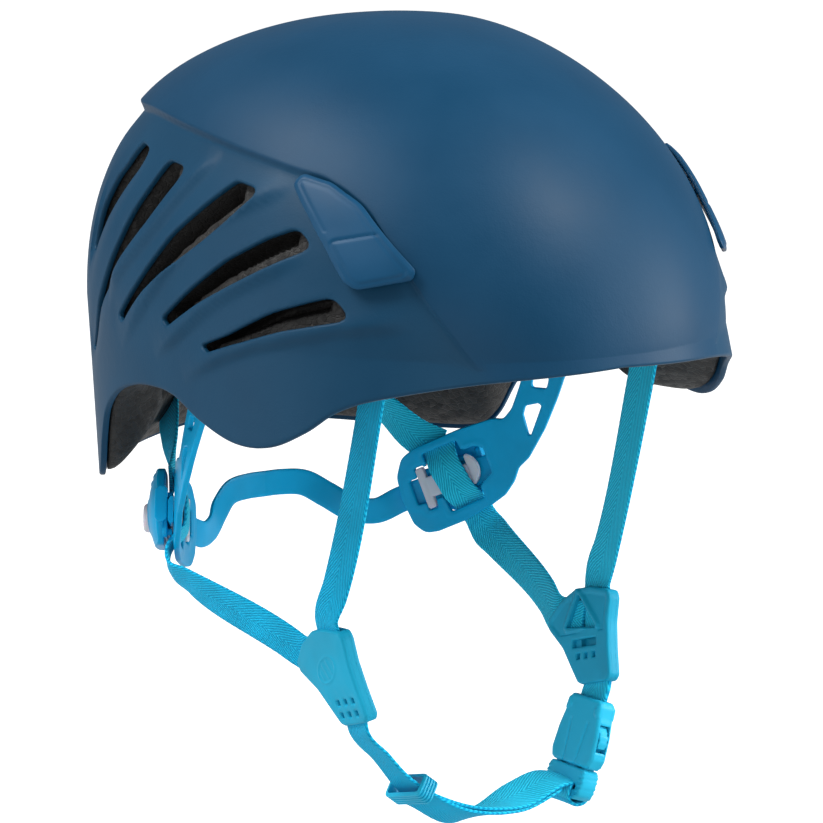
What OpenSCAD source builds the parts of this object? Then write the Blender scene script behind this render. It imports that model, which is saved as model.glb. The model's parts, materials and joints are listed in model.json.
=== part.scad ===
// Climbing helmet. Millimetres. +X is the wearer's left, -Y is forward, +Z is up.
// The origin is at the centre of the shell's widest plane.

/* [Shell] */
// Height of the crown above the widest plane
crown_h = 109; // [105:1:114]
// Half width of the shell
half_w = 104; // [101:1:108]
// Reach of the shell forward of the origin
front_len = 148; // [144:1:154]
// Reach of the shell behind the origin
rear_len = 131; // [128:1:136]
// Wall thickness of the shell
shell_t = 2.4; // [1.8:0.2:2.6]

/* [Liner] */
// Foam thickness at the sides
foam_side = 16.6; // [15:0.2:17]
// Foam thickness at the crown
foam_crown = 20.6; // [16:0.2:22]
// Foam thickness at the forehead
foam_front = 39.6; // [34:0.2:41]
// Foam thickness at the back of the head
foam_rear = 18.6; // [16:0.2:20]

/* [Webbing] */
// Width of the webbing
strap_w = 15; // [13:0.5:16]
// Thickness of the webbing
strap_t = 1.4; // [1.0:0.1:1.5]

/* [Headband] */
// Thickness of the side plates
plate_t = 2.4; // [2:0.1:2.5]
// Height of the nape band
nape_w = 10.5; // [9:0.5:11]
// Thickness of the nape band
nape_t = 1.6; // [1.2:0.1:1.7]

/* [Buckle] */
// Thickness of the buckle
buckle_t = 8; // [7.6:0.2:9]
// Thickness of the strap dividers
divider_t = 6; // [5.4:0.2:7]

/* [Hidden] */
$fn = 32;

shell_blue = [0.13, 0.25, 0.40];
trim_blue = [0.16, 0.33, 0.52];
cyan = [0.10, 0.58, 0.75];
azure = [0.02, 0.48, 0.70];
foam_black = [0.07, 0.07, 0.08];
lock_white = [0.88, 0.87, 0.90];

gap = 0.2;                 // running clearance between parts that meet
columns = 60;              // steps round the helmet
column_step = 360 / columns;

// ---------------------------------------------------------------- form of the helmet
plan_power = 2.2;          // squareness of the plan: 2 is an ellipse
crown_shift = -6;          // the crown sits this far forward of the origin
bulge = [1.04, 0.79, 0.97];     // exponents of the wall's lean: front, side, rear
drop = [1.1, 1, 0.82];          // exponents of the wall's fall: front, side, rear
flare = [0.28, 0.02, -0.12];    // outward run for each mm below the widest plane: front, side, rear

// a size is [half width, reach forward, reach back, crown height]
function inset(side, front, rear, top) =
    [half_w - side, front_len - front, rear_len - rear, crown_h - top];
function even_inset(d) = inset(d, d, d, d);
outer_size = even_inset(0);
liner_skin = even_inset(shell_t + 0.7);
cavity_size = inset(foam_side + shell_t, foam_front + shell_t, foam_rear + shell_t,
    foam_crown + shell_t);

// point of the form at psi degrees from the front towards +X; v is 0 at the crown, 1 at the
// widest plane, and grows by 1 for each 100 mm below it
function form(psi, v, size) =
    let (s = sin(psi), c = cos(psi), reach = c > 0 ? size[1] : size[2],
        plan = pow(pow(abs(s) / size[0], plan_power) + pow(abs(c) / reach, plan_power),
            -1 / plan_power),
        front = pow(max(c, 0), 1.5), rear = pow(max(-c, 0), 1.5), side = 1 - front - rear,
        b = bulge[0] * front + bulge[1] * side + bulge[2] * rear,
        a = drop[0] * front + drop[1] * side + drop[2] * rear,
        up = min(v, 1) * 90, lean = pow(sin(up), b), below = max(v - 1, 0) * 100,
        r = plan * lean + (front * flare[0] + side * flare[1] + rear * flare[2]) * below)
    [r * s, -r * c + crown_shift * (1 - lean), size[3] * pow(max(cos(up), 0), a) - below];

// v of the outer form at height z
function v_at(psi, z) =
    let (c = cos(psi), front = pow(max(c, 0), 1.5), rear = pow(max(-c, 0), 1.5),
        a = drop[0] * front + drop[1] * (1 - front - rear) + drop[2] * rear)
    z < 0 ? 1 - z / 100 : acos(pow(z / crown_h, 1 / a)) / 90;

// height of the rim at angles from the front, mirrored side to side
RIM = [[0, -4], [20, -7], [34, -13], [42, -19], [48, -28], [55, -35], [63, -36], [73, -31],
    [83, -24], [92, -23], [100, -25], [108, -30], [115, -39], [119, -50], [123, -63], [128, -69],
    [140, -70], [156, -68], [180, -63]];
function rim_search(x, i = 0) = i >= len(RIM) - 2 || RIM[i + 1][0] >= x ? i : rim_search(x, i + 1);
function blend4(a, b, c, d, t) =
    b + 0.5 * t * (c - a + t * (2 * a - 5 * b + 4 * c - d + t * (3 * (b - c) + d - a)));
function rim_z(psi) =
    let (x = abs(psi > 180 ? psi - 360 : psi), i = rim_search(x), n = len(RIM) - 1,
        t = (x - RIM[i][0]) / (RIM[i + 1][0] - RIM[i][0]))
    blend4(RIM[max(i - 1, 0)][1], RIM[i][1], RIM[i + 1][1], RIM[min(i + 2, n)][1], t);
function rim_v(psi, extra = 0) = 1 + (extra - rim_z(psi)) / 100;

// ---------------------------------------------------------------- solids from grids
function quad(a, b, c, d) = [[a, b, c], [a, c, d]];

// closed solid whose cross sections are the closed loops; the last one joins the first
module ring_solid(loops) {
    m = len(loops);
    k = len(loops[0]);
    polyhedron([for (l = loops) each l],
        [for (j = [0:m - 1]) for (i = [0:k - 1])
            let (n = (j + 1) % m, h = (i + 1) % k)
            each quad(j * k + i, j * k + h, n * k + h, n * k + i)]);
}

// closed solid along a row of cross sections, with flat ends
module row_solid(loops) {
    m = len(loops);
    k = len(loops[0]);
    polyhedron([for (l = loops) each l], concat(
        [for (j = [0:m - 2]) for (i = [0:k - 1])
            let (h = (i + 1) % k)
            each quad(j * k + i, j * k + h, (j + 1) * k + h, (j + 1) * k + i)],
        [[for (i = [k - 1:-1:0]) i]], [[for (i = [0:k - 1]) (m - 1) * k + i]]));
}

// dome between two sizes, from the crown down to end_v(psi)
module dome_solid(outside, inside, ends, rows) {
    m = columns;
    grid = [for (size = [outside, inside]) for (i = [1:rows]) for (j = [0:m - 1])
        form(j * column_step, ends[j] * i / rows, size)];
    function at(side, i, j) = 2 + (side * rows + i - 1) * m + j % m;
    polyhedron(concat([form(0, 0, outside), form(0, 0, inside)], grid), concat(
        [for (j = [0:m - 1]) [0, at(0, 1, j), at(0, 1, j + 1)]],
        [for (j = [0:m - 1]) [1, at(1, 1, j + 1), at(1, 1, j)]],
        [for (i = [1:rows - 1]) for (j = [0:m - 1])
            each quad(at(0, i, j), at(0, i + 1, j), at(0, i + 1, j + 1), at(0, i, j + 1))],
        [for (i = [1:rows - 1]) for (j = [0:m - 1])
            each quad(at(1, i, j), at(1, i, j + 1), at(1, i + 1, j + 1), at(1, i + 1, j))],
        [for (j = [0:m - 1])
            each quad(at(0, rows, j), at(1, rows, j), at(1, rows, j + 1), at(0, rows, j + 1))]));
}

// plate on the form with the outline's [psi, height] corners, from one offset to another
module surface_plate(outline, near, far) {
    n = len(outline);
    middle = [for (k = [0, 1]) [for (p = outline) p[k]] * [for (p = outline) 1] / n];
    rings = 3;
    layer = [for (d = [near, far]) let (size = even_inset(-d)) concat(
        [form(middle[0], v_at(middle[0], middle[1]), size)],
        [for (r = [1:rings]) for (p = outline)
            let (q = middle + (p - middle) * r / rings) form(q[0], v_at(q[0], q[1]), size)])];
    total = 1 + rings * n;
    function at(side, r, i) = side * total + 1 + (r - 1) * n + i % n;
    polyhedron(concat(layer[0], layer[1]), concat(
        [for (i = [0:n - 1]) [0, at(0, 1, i + 1), at(0, 1, i)]],
        [for (i = [0:n - 1]) [total, at(1, 1, i), at(1, 1, i + 1)]],
        [for (r = [1:rings - 1]) for (i = [0:n - 1])
            each quad(at(0, r, i), at(0, r, i + 1), at(0, r + 1, i + 1), at(0, r + 1, i))],
        [for (r = [1:rings - 1]) for (i = [0:n - 1])
            each quad(at(1, r, i), at(1, r + 1, i), at(1, r + 1, i + 1), at(1, r, i + 1))],
        [for (i = [0:n - 1])
            each quad(at(0, rings, i), at(0, rings, i + 1), at(1, rings, i + 1), at(1, rings, i))]));
}

// smooth curve through points of any dimension, with a number of steps in each span
function curve(points, steps) = let (n = len(points) - 1) concat(
    [for (i = [0:n - 1]) for (s = [0:steps - 1])
        blend4(points[max(i - 1, 0)], points[i], points[i + 1], points[min(i + 2, n)], s / steps)],
    [points[n]]);
function unit(v) = v / norm(v);

// flat band along a route of [centre, direction of its width]
module ribbon(route, width, thick, steps = 6) {
    centres = curve([for (r = route) r[0]], steps);
    across = curve([for (r = route) unit(r[1])], steps);
    n = len(centres) - 1;
    row_solid([for (i = [0:n])
        let (along = unit(centres[min(i + 1, n)] - centres[max(i - 1, 0)]),
            w = unit(across[i] - along * (across[i] * along)) * width / 2,
            t = unit(cross(along, w)) * thick / 2)
        [centres[i] - w - t, centres[i] + w - t, centres[i] + w + t, centres[i] - w + t]]);
}

module both_sides(left) {
    if (left) children();
    else mirror([1, 0, 0]) children();
}

// ---------------------------------------------------------------- shell, vents and liners
// centre line of each vent: [psi, height, half width]
VENTS = [
    [[115, 61, 3], [119.5, 48, 5], [123, 34, 4.5], [124, 25, 1.6]],
    [[93, 56, 6], [102, 34, 7.5], [114, 8, 5.5], [125, -18, 1.6]],
    [[66, 53, 5], [81, 34, 8], [95, 14, 4.5], [105, 0, 1.6]],
    [[50.5, 39, 3.6], [65, 26, 5.5], [86, 3, 1.6]],
    [[42, 16.5, 3.2], [54.5, 10, 3.6], [72, -4, 1.6]]];

// prism through the wall along a vent, as wide as the vent at every point of its centre line
module vent_cutter(line) {
    path = curve(line, 3);
    n = len(path) - 1;
    centres = [for (p = path) form(p[0], v_at(p[0], p[1]), even_inset(0))];
    deep = [for (p = path) form(p[0], v_at(p[0], p[1]), even_inset(12))];
    row_solid([for (i = [0:n])
        let (along = unit(centres[min(i + 1, n)] - centres[max(i - 1, 0)]),
            out = unit(centres[i] - deep[i]) * 7, side = unit(cross(along, out)) * path[i][2])
        [centres[i] - side - out, centres[i] + side - out, centres[i] + side + out,
            centres[i] - side + out]]);
}

module shell() {
    color(shell_blue)
        difference() {
            dome_solid(outer_size, even_inset(shell_t),
                [for (j = [0:columns - 1]) rim_v(j * column_step)], 15);
            for (left = [true, false])
                both_sides(left)
                    for (line = VENTS)
                        vent_cutter(line);
        }
}

split_v = 0.62;            // where the crown liner meets the side liner

module crown_liner() {
    color([0.16, 0.16, 0.17])
        dome_solid(liner_skin, cavity_size, [for (j = [0:columns - 1]) split_v - 0.004], 7);
}

foam_drop = -1;            // the foam ends this far short of the shell's rim, as a fall
thin_edge = 6;             // the foam is this much thinner at the lowest edge
function liner_wall(v) =
    let (d = thin_edge * min(max(v - 1, 0) / 0.5, 1)) cavity_size + [d, d, d, 0];

module side_liner() {
    steps = 6;
    color(foam_black)
        difference() {
            ring_solid([for (j = [0:columns - 1])
                let (psi = j * column_step, end = rim_v(psi, foam_drop))
                concat(
                    [for (i = [0:steps]) form(psi, split_v + (end - split_v) * i / steps, liner_skin)],
                    [for (i = [steps:-1:0])
                        let (v = split_v + (end - split_v) * i / steps)
                        form(psi, v, liner_wall(v))])]);
            for (left = [true, false])
                both_sides(left) {
                    anchor_pocket(FRONT_ANCHOR, front_anchor_turn, 16);
                    anchor_pocket(REAR_ANCHOR, rear_anchor_turn, 40);
                    arm_socket();
                }
        }
}

CLIP = [[49, 47.5], [45.5, 36.5], [41.5, 25.5], [39.5, 23], [30.5, 27.5], [30, 30.5], [34.5, 41],
    [39, 51.5], [45, 57], [51.5, 60], [53.5, 57]];
CLIP_ROOT = [[48.5, 48], [44.5, 38], [41, 27], [39.5, 25.5], [38.5, 28.5], [43.5, 41], [48.5, 54],
    [51.5, 55]];
clip_gap = 1.6;            // room for the headlamp's band
clip_t = 2.2;

module clip() {
    color(trim_blue) {
        surface_plate(CLIP, clip_gap, clip_gap + clip_t);
        surface_plate(CLIP_ROOT, 0.1, clip_gap + 0.6);
    }
}

// comfort pads lie on the inside of the liner
pad_t = 5;
function pad_size(d) = cavity_size - [d, d, d, d];

module front_pad() {
    steps = 10;
    spread = 32;
    color(foam_black)
        row_solid([for (i = [0:steps])
            let (psi = -spread + 2 * spread * i / steps)
            [form(psi, 0.76, pad_size(0.3)), form(psi, 0.97, pad_size(0.3)),
                form(psi, 0.97, pad_size(pad_t)), form(psi, 0.76, pad_size(pad_t))]]);
}

module crown_pad() {
    color(foam_black)
        intersection() {
            dome_solid(pad_size(0.4), pad_size(pad_t), [for (j = [0:columns - 1]) 0.5], 6);
            translate([0, crown_shift, 0])
                linear_extrude(crown_h)
                    offset(r = 8) square([24, 90], center = true);
        }
}

// ---------------------------------------------------------------- webbing
FRONT_ANCHOR = [61.5, -81, -2];
front_anchor_turn = 10;
REAR_ANCHOR = [34, 109, -45];
rear_anchor_turn = 73;
anchor_size = [7, 20, 14];

module anchor_block(turn, grow) {
    rotate([0, 0, turn])
        cube(anchor_size + [grow, grow, grow], center = true);
}

// pocket in the foam, open downwards and towards the head, where the webbing comes out
module anchor_pocket(place, turn, room) {
    translate(place) {
        anchor_block(turn, 2 * gap);
        rotate([0, 0, turn])
            translate([-6.2, 0, -12])
                cube([14, strap_w + room, 44], center = true);
    }
}

anchor_grey = [0.2, 0.2, 0.22];

module anchor_front() {
    color(anchor_grey)
        translate(FRONT_ANCHOR)
            anchor_block(front_anchor_turn, 0);
}

module anchor_rear() {
    color(anchor_grey)
        translate(REAR_ANCHOR)
            anchor_block(rear_anchor_turn, 0);
}

fore = [0, 1, 0];          // width direction of webbing that lies against the side of the head

DIVIDER = [57.5, -50, -126];
divider_lean = [-17, 11, 0];

module front_strap() {
    color(cyan)
        ribbon([[FRONT_ANCHOR + [-1, 0, -8], fore],
            [[60.5, -77, -35], fore], [[61, -69, -70], fore + [0.05, 0, -0.15]],
            [divider_point([-6, 19.2, 0.3]), divider_dir([1, 0.12, 0])]], strap_w, strap_t, 5);
}

module rear_strap_upper() {
    color(cyan)
        ribbon([[REAR_ANCHOR + [4.6, -9, -4.4], [0.95, 0.1, 0.1]],
            [[50, 81, -58], [0.9, 0.3, 0.2]],
            [plate_point([2.2, 23, 7]), plate_dir([-1, 0.45, 0])]], strap_w, strap_t, 5);
}

module strap_loop() {
    color(cyan)
        ribbon([for (p = [[2.7, 16.6, 4.9], [2.7, 14.2, 4.6], [2.5, 10.6, 3], [2.2, 8, 0.4],
            [1.8, 5, -1.4], [0.4, -2, -2], [-0.6, -7.6, -1.5], [-1.2, -10.4, 0.4], [-1.8, -13, 3],
            [-2.1, -16, 4.6], [-2.6, -20, 4.9]])
            [plate_point(p), plate_dir([-1, 0.12, 0])]], strap_w - 1.6, strap_t, 2);
}

module rear_strap_lower() {
    color(cyan)
        ribbon([[plate_point([-2.7, -21.9, 5]), plate_dir([-1, 0.2, 0])],
            [[67, 26, -106], [0.35, -0.55, 0.75]],
            [[67.5, -2, -114], [0.1, -0.3, 0.95]],
            [divider_point([19.5, 8.5, 0]), divider_dir([-0.26, 0.97, 0])]], strap_w, strap_t, 6);
}

// ---------------------------------------------------------------- strap dividers
// local x runs rearward, y up along the divider, z outward from the face
module divider_frame() {
    translate(DIVIDER)
        rotate(divider_lean)
            rotate([90, 0, 90])
                children();
}
function turn_x(a, p) = [p[0], p[1] * cos(a) - p[2] * sin(a), p[1] * sin(a) + p[2] * cos(a)];
function turn_y(a, p) = [p[0] * cos(a) + p[2] * sin(a), p[1], p[2] * cos(a) - p[0] * sin(a)];
function turn_z(a, p) = [p[0] * cos(a) - p[1] * sin(a), p[0] * sin(a) + p[1] * cos(a), p[2]];
function leaning(lean, p) = turn_y(lean[1], turn_x(lean[0], turn_z(90, turn_x(90, p))));
function divider_dir(p) = leaning(divider_lean, p);
function divider_point(p) = DIVIDER + divider_dir(p);

DIVIDER_OUTLINE = [[-16, 11], [-15, 14], [-4, 16.5], [5, 16.5], [15, 12.5], [22.5, 6.5], [22.5, 2.5],
    [14, -5.5], [8, -15], [5, -19.5], [2.5, -20.5], [-13, -20.5], [-15, -18.5], [-13.5, -8], [-13.5, 2]];

module divider() {
    channel = 2.2;
    color(cyan)
        divider_frame()
            difference() {
                translate([0, 0, -divider_t / 2])
                    linear_extrude(divider_t)
                        polygon(DIVIDER_OUTLINE);
                translate([-14.2, 4, -channel / 2])
                    cube([strap_w + 1, 14, channel]);
                translate([0, 0, -channel / 2])
                    linear_extrude(channel)
                        polygon([[-4, -3], [4, 14.4], [12, 16.5], [25, 8], [25, 1]]);
                translate([-12.2, -22, -channel / 2])
                    cube([strap_w + 1, 32, channel]);
                for (column = [-9, -3.5, 2], row = [-12, -17])
                    translate([column - 1.2, row - 1.2, 1])
                        cube([2.4, 2.4, 3]);
                translate([0, 0, -divider_t])
                    linear_extrude(divider_t)
                        polygon([[3, 14], [11, 2.5], [-7, 1]]);
                translate([-7, -6, -divider_t])
                    cube([14, 2.4, divider_t]);
                for (column = [-5.5, -0.7, 4.1])
                    translate([column - 1, -10.4, -divider_t])
                        cube([2, 2, divider_t]);
            }
}

// ---------------------------------------------------------------- chin strap, keeper and buckle
CHIN = [[[-54.6, -60.5, -147.2], [0.1, 1, -0.25]], [[-46, -62, -157.5], [0.25, 0.9, -0.4]],
    [[-36, -63, -169], [0.25, 0.85, -0.5]], [[-24, -63.5, -178.5], [0.15, 0.8, -0.6]],
    [[-12, -63.5, -183.5], [0, 0.85, -0.5]], [[1, -63, -184], [0, 1, -0.15]],
    [[16, -62, -181.5], [-0.1, 0.93, 0.36]], [[31, -61, -177.8], [-0.1, 0.97, 0.2]]];

module chin_strap() {
    color(cyan)
        ribbon(CHIN, strap_w, strap_t, 4);
}

module strap_tail() {
    lift = strap_t + 0.4;
    first = 3;
    color(cyan)
        ribbon([for (i = [first:7])
            let (along = CHIN[min(i + 1, 7)][0] - CHIN[i - 1][0], out = unit(cross(along, CHIN[i][1])))
            [CHIN[i][0] - lift * out * sign(out[2]), CHIN[i][1]]],
            strap_w, strap_t, 4);
}

keeper_spot = [-33.2, -63.1, -171.6];

module strap_keeper() {
    along = unit(CHIN[3][0] - CHIN[2][0]);
    across = unit(CHIN[2][1] - along * (CHIN[2][1] * along));
    out = cross(along, across);
    color(cyan)
        multmatrix([for (k = [0:2]) [along[k], across[k], out[k], keeper_spot[k]]])
            difference() {
                cube([7, 20, 8.4], center = true);
                cube([10, strap_w + 1, 4.4], center = true);
            }
}

BUCKLE = [47.5, -60, -164];
buckle_lean = [0, 19, 0];

module buckle_frame() {
    translate(BUCKLE)
        rotate(buckle_lean)
            rotate([90, 0, 90])
                children();
}
function buckle_dir(p) = leaning(buckle_lean, p);
function buckle_point(p) = BUCKLE + buckle_dir(p);

module buckle_strap() {
    color(cyan)
        ribbon([[divider_point([-4, -24, 0]), divider_dir([1, 0, 0])],
            [buckle_point([-1, 16, 0]), buckle_dir([1, 0, 0])]], strap_w, 2 * strap_t, 6);
}

cavity_t = 4.8;            // height of the socket's mouth
cavity_half = 10.6;        // half width of the socket's mouth

// closed outline from the points of its right half
function mirrored(half) =
    concat(half, [for (i = [len(half) - 1:-1:0]) [-half[i][0], half[i][1]]]);

module slab(half, thick) {
    translate([0, 0, -thick / 2])
        linear_extrude(thick)
            polygon(mirrored(half));
}

module buckle_female() {
    color(cyan)
        buckle_frame()
            difference() {
                slab([[11.6, -11], [12.8, -7], [12.2, 2], [10.6, 9], [10, 13], [9, 14.6]], buckle_t);
                translate([-cavity_half, -12, -cavity_t / 2])
                    cube([2 * cavity_half, 19, cavity_t]);
                for (side = [-1, 1])
                    translate([side * 11 - 4, -3, -cavity_t / 2])
                        cube([8, 10, cavity_t]);
                translate([-8, 8.6, -buckle_t])
                    cube([16, 3, 2 * buckle_t]);
                translate([-8, 11, -1.8])
                    cube([16, 5, 3.6]);
            }
}

module buckle_male() {
    color(cyan)
        buckle_frame()
            difference() {
                union() {
                    slab([[9, -23], [10.6, -21.4], [11.4, -17], [10.8, -11.3]], buckle_t);
                    slab([[3, -12], [3, 3], [1.6, 5.4]], cavity_t - 2 * gap);
                }
                translate([-8, -17.4, -buckle_t])
                    cube([16, 2.6, 2 * buckle_t]);
                translate([-8, -21.6, -buckle_t])
                    cube([16, 2.6, 2 * buckle_t]);
                for (side = [-1, 1])
                    translate([side * 9 - 3.2, -14.2, -cavity_t / 2])
                        cube([6.4, 5, cavity_t]);
            }
}

module buckle_prong(side) {
    thick = cavity_t - 2 * gap;
    color(cyan)
        buckle_frame()
            translate([0, 0, -thick / 2])
                linear_extrude(thick) {
                    polygon([for (p = [[6.6, -12.8], [9.2, -12.8], [10.2, -6], [10.2, -2.6], [12.6, -2.4],
                        [12.4, 2], [9.6, 6.4], [7.4, 6.4], [8, 0], [7, -8]]) [side * p[0], p[1]]]);
                    translate([side * 7.9, -12.4])
                        circle(r = 1.5);
                }
}

// ---------------------------------------------------------------- headband
// local x runs along the plate towards the nape, y up across it, z out from the head
PLATE = [63, 50, -82];
plate_turn = 35;           // the plate's normal stands this far behind the +X axis
plate_tilt = -22;
nape_bend = 60;            // bending radius of the plate behind its middle
arm_bend = 160;            // and in front of it
module plate_frame() {
    translate(PLATE)
        rotate([90, 0, 90 + plate_turn])
            rotate([0, 0, plate_tilt])
                children();
}
function bend_drop(x) = x > 0 ? nape_bend - sqrt(nape_bend * nape_bend - x * x)
    : arm_bend - sqrt(arm_bend * arm_bend - x * x);
function plate_dir(p) = turn_z(90 + plate_turn, turn_x(90, turn_z(plate_tilt, p)));
function plate_point(p) = PLATE + plate_dir([p[0], p[1], p[2] - bend_drop(p[0])]);

// the part of an upright prism that lies between two heights above the bent inner face
module bent(low, high) {
    reach = 60;
    for (side = [[nape_bend, 0], [arm_bend, -100]])
        intersection() {
            linear_extrude(120, center = true)
                children();
            translate([0, 0, -side[0]])
                rotate([-90, 0, 0])
                    difference() {
                        cylinder(r = side[0] + high, h = 2 * reach, center = true, $fn = 96);
                        cylinder(r = side[0] + low, h = 3 * reach, center = true, $fn = 96);
                    }
            translate([side[1], -reach, -35])
                cube([100, 2 * reach, 60]);
        }
}

PLATE_OUTLINE = [[-78, 33], [-64, 22], [-57, 15], [-46, 5], [-34, -4], [-28, -6.5], [-24, -11],
    [-18, -15], [-11, -17], [2, -19.5], [14, -20], [19, -19], [22, -14], [23, -3], [22, 6], [18, 12.5],
    [12, 14.5], [-8, 15.8], [-25, 15.5], [-29, 13.8], [-34.5, 16.7], [-41, 23.4], [-56, 40],
    [-60, 48], [-68, 52], [-77, 49], [-81, 41]];
ARM_HOLES = [[[-41, 16], [-47.5, 15.3], [-48.3, 14], [-39, 4.6], [-37.7, 4.6], [-38.6, 13]],
    [[-50, 26.5], [-57, 24], [-53.6, 19.8], [-46.8, 22.2]],
    [[-56.5, 34], [-65, 31], [-61, 27.5], [-53.5, 30]]];
WEBBING_WINDOW = [[9.8, 11.2], [-6, 12], [-9.6, -13], [6.4, -14.4]];
LOCK_WINDOW = [[-16, 5.5], [-12.7, 7.6], [18, 7], [18, -7.4], [-9.5, -8], [-16, -4.5]];
T_SLOT = [[10.8, 7], [14.6, 7], [14.6, -11], [10.8, -11]];
ARM_PIVOT = [-69, 41];
pivot_r = 2;

module window(outline) {
    translate([0, 0, -40])
        linear_extrude(80)
            polygon(outline);
}

module side_plate() {
    pivot = plate_point([ARM_PIVOT[0], ARM_PIVOT[1], 0]);
    color(azure)
        difference() {
            plate_frame()
                difference() {
                    bent(0, plate_t)
                        polygon(PLATE_OUTLINE);
                    for (hole = ARM_HOLES)
                        window(hole);
                    window(WEBBING_WINDOW);
                    window(LOCK_WINDOW);
                    window(T_SLOT);
                }
            translate(pivot)
                rotate([0, 90, 0])
                    cylinder(r = pivot_r + gap, h = 20, center = true);
        }
}

// stud that the arm turns on, with its flange sunk in the foam
module arm_anchor() {
    pivot = plate_point([ARM_PIVOT[0], ARM_PIVOT[1], 0]);
    color([0.2, 0.2, 0.22])
        translate(pivot)
            rotate([0, 90, 0]) {
                translate([0, 0, -3])
                    cylinder(r = pivot_r, h = 10);
                translate([0, 0, 5.6])
                    cylinder(r = 9, h = 4);
                translate([0, 0, -4.4])
                    cylinder(r = 3.6, h = 1.6);
            }
}

module arm_socket() {
    pivot = plate_point([ARM_PIVOT[0], ARM_PIVOT[1], 0]);
    translate(pivot)
        rotate([0, 90, 0]) {
            translate([0, 0, 5.4])
                cylinder(r = 9 + gap, h = 4.4);
            translate([0, 0, -10])
                cylinder(r = 12, h = 15.5);
        }
}

NAPE = [[-17, -2.7, 3.5], [-4, -2.7, 3.5], [10, -2.8, 3.6], [25, -3, 3.9]];
// the free part of the band: [place, direction of its height]
NAPE_ARCH = [[[40.5, 71.5, -98.3], [0.05, -0.05, 1]], [[33, 77, -97.5], [0.25, -0.1, 1]],
    [[25, 84, -92], [0.65, -0.15, 0.8]], [[17, 88.5, -87], [0.3, -0.05, 1]],
    [[8, 90.5, -86], [0, 0, 1]]];

module nape_band() {
    left = concat([for (p = NAPE) [plate_point(p), plate_dir([0, 1, 0])]], NAPE_ARCH);
    color(azure)
        ribbon(concat(left, [[[0, 91, -86], [0, 0, 1]]],
            [for (i = [len(left) - 1:-1:0]) [for (v = left[i]) [-v[0], v[1], v[2]]]]),
            nape_w, nape_t, 3);
}

button_spot = [5.5, -2.5];
button_r = 5.6;

module adjuster_cap() {
    color(azure)
        plate_frame()
            difference() {
                union() {
                    hull() {
                        translate([0, 0, 8])
                            linear_extrude(1, center = true)
                                offset(r = 3) square([16, 26], center = true);
                        translate([1, 0, 11.5])
                            linear_extrude(1, center = true)
                                offset(r = 3) square([8, 12], center = true);
                    }
                    translate([-11, -8.6, 4.6])
                        cube([22, 12, 3.6]);
                    translate([-12.6, -7, 5])
                        cube([2.4, 14, 6]);
                }
                translate([button_spot[0], button_spot[1], 8])
                    cylinder(r = button_r + gap, h = 10);
            }
}

module lock_clip() {
    color(lock_white)
        plate_frame()
            bent(-0.6, 1.9) {
                polygon([[-7, -6.2], [11, -6.2], [11, -10.4], [14.2, -10.4], [14.2, 6.4], [11, 6.4],
                    [11, 2], [-7, 2]]);
                intersection() {
                    translate([-4.2, -0.7])
                        circle(r = 7.1);
                    translate([-12, -8])
                        square([5.5, 14.6]);
                }
            }
}

module lock_button() {
    color(lock_white)
        plate_frame()
            translate([button_spot[0], button_spot[1], 0]) {
                translate([0, 0, 9.8])
                    cylinder(r = button_r, h = 2.6);
                translate([0, 0, 12.4])
                    cylinder(r1 = button_r, r2 = button_r - 1.6, h = 1.2);
            }
}

shell();
crown_liner();
side_liner();
both_sides(false) clip();  // clip_right
both_sides(true) clip();  // clip_left
front_pad();
crown_pad();
both_sides(false) anchor_front();  // anchor_front_right
both_sides(true) anchor_front();  // anchor_front_left
both_sides(false) anchor_rear();  // anchor_rear_right
both_sides(true) anchor_rear();  // anchor_rear_left
both_sides(false) front_strap();  // front_strap_right
both_sides(true) front_strap();  // front_strap_left
both_sides(false) rear_strap_upper();  // rear_strap_upper_right
both_sides(true) rear_strap_upper();  // rear_strap_upper_left
both_sides(false) rear_strap_lower();  // rear_strap_lower_right
both_sides(true) rear_strap_lower();  // rear_strap_lower_left
both_sides(false) strap_loop();  // strap_loop_right
both_sides(true) strap_loop();  // strap_loop_left
both_sides(false) divider();  // divider_right
both_sides(true) divider();  // divider_left
chin_strap();
strap_tail();
buckle_strap();
strap_keeper();
buckle_female();
buckle_male();
buckle_prong(-1);  // buckle_prong_right
buckle_prong(1);  // buckle_prong_left
both_sides(false) side_plate();  // side_plate_right
both_sides(true) side_plate();  // side_plate_left
both_sides(false) arm_anchor();  // arm_anchor_right
both_sides(true) arm_anchor();  // arm_anchor_left
nape_band();
both_sides(false) adjuster_cap();  // adjuster_cap_right
both_sides(true) adjuster_cap();  // adjuster_cap_left
both_sides(false) lock_clip();  // lock_clip_right
both_sides(true) lock_clip();  // lock_clip_left
both_sides(false) lock_button();  // lock_button_right
both_sides(true) lock_button();  // lock_button_left
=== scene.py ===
"""Looks of the climbing helmet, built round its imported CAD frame."""

import json
import math

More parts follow.
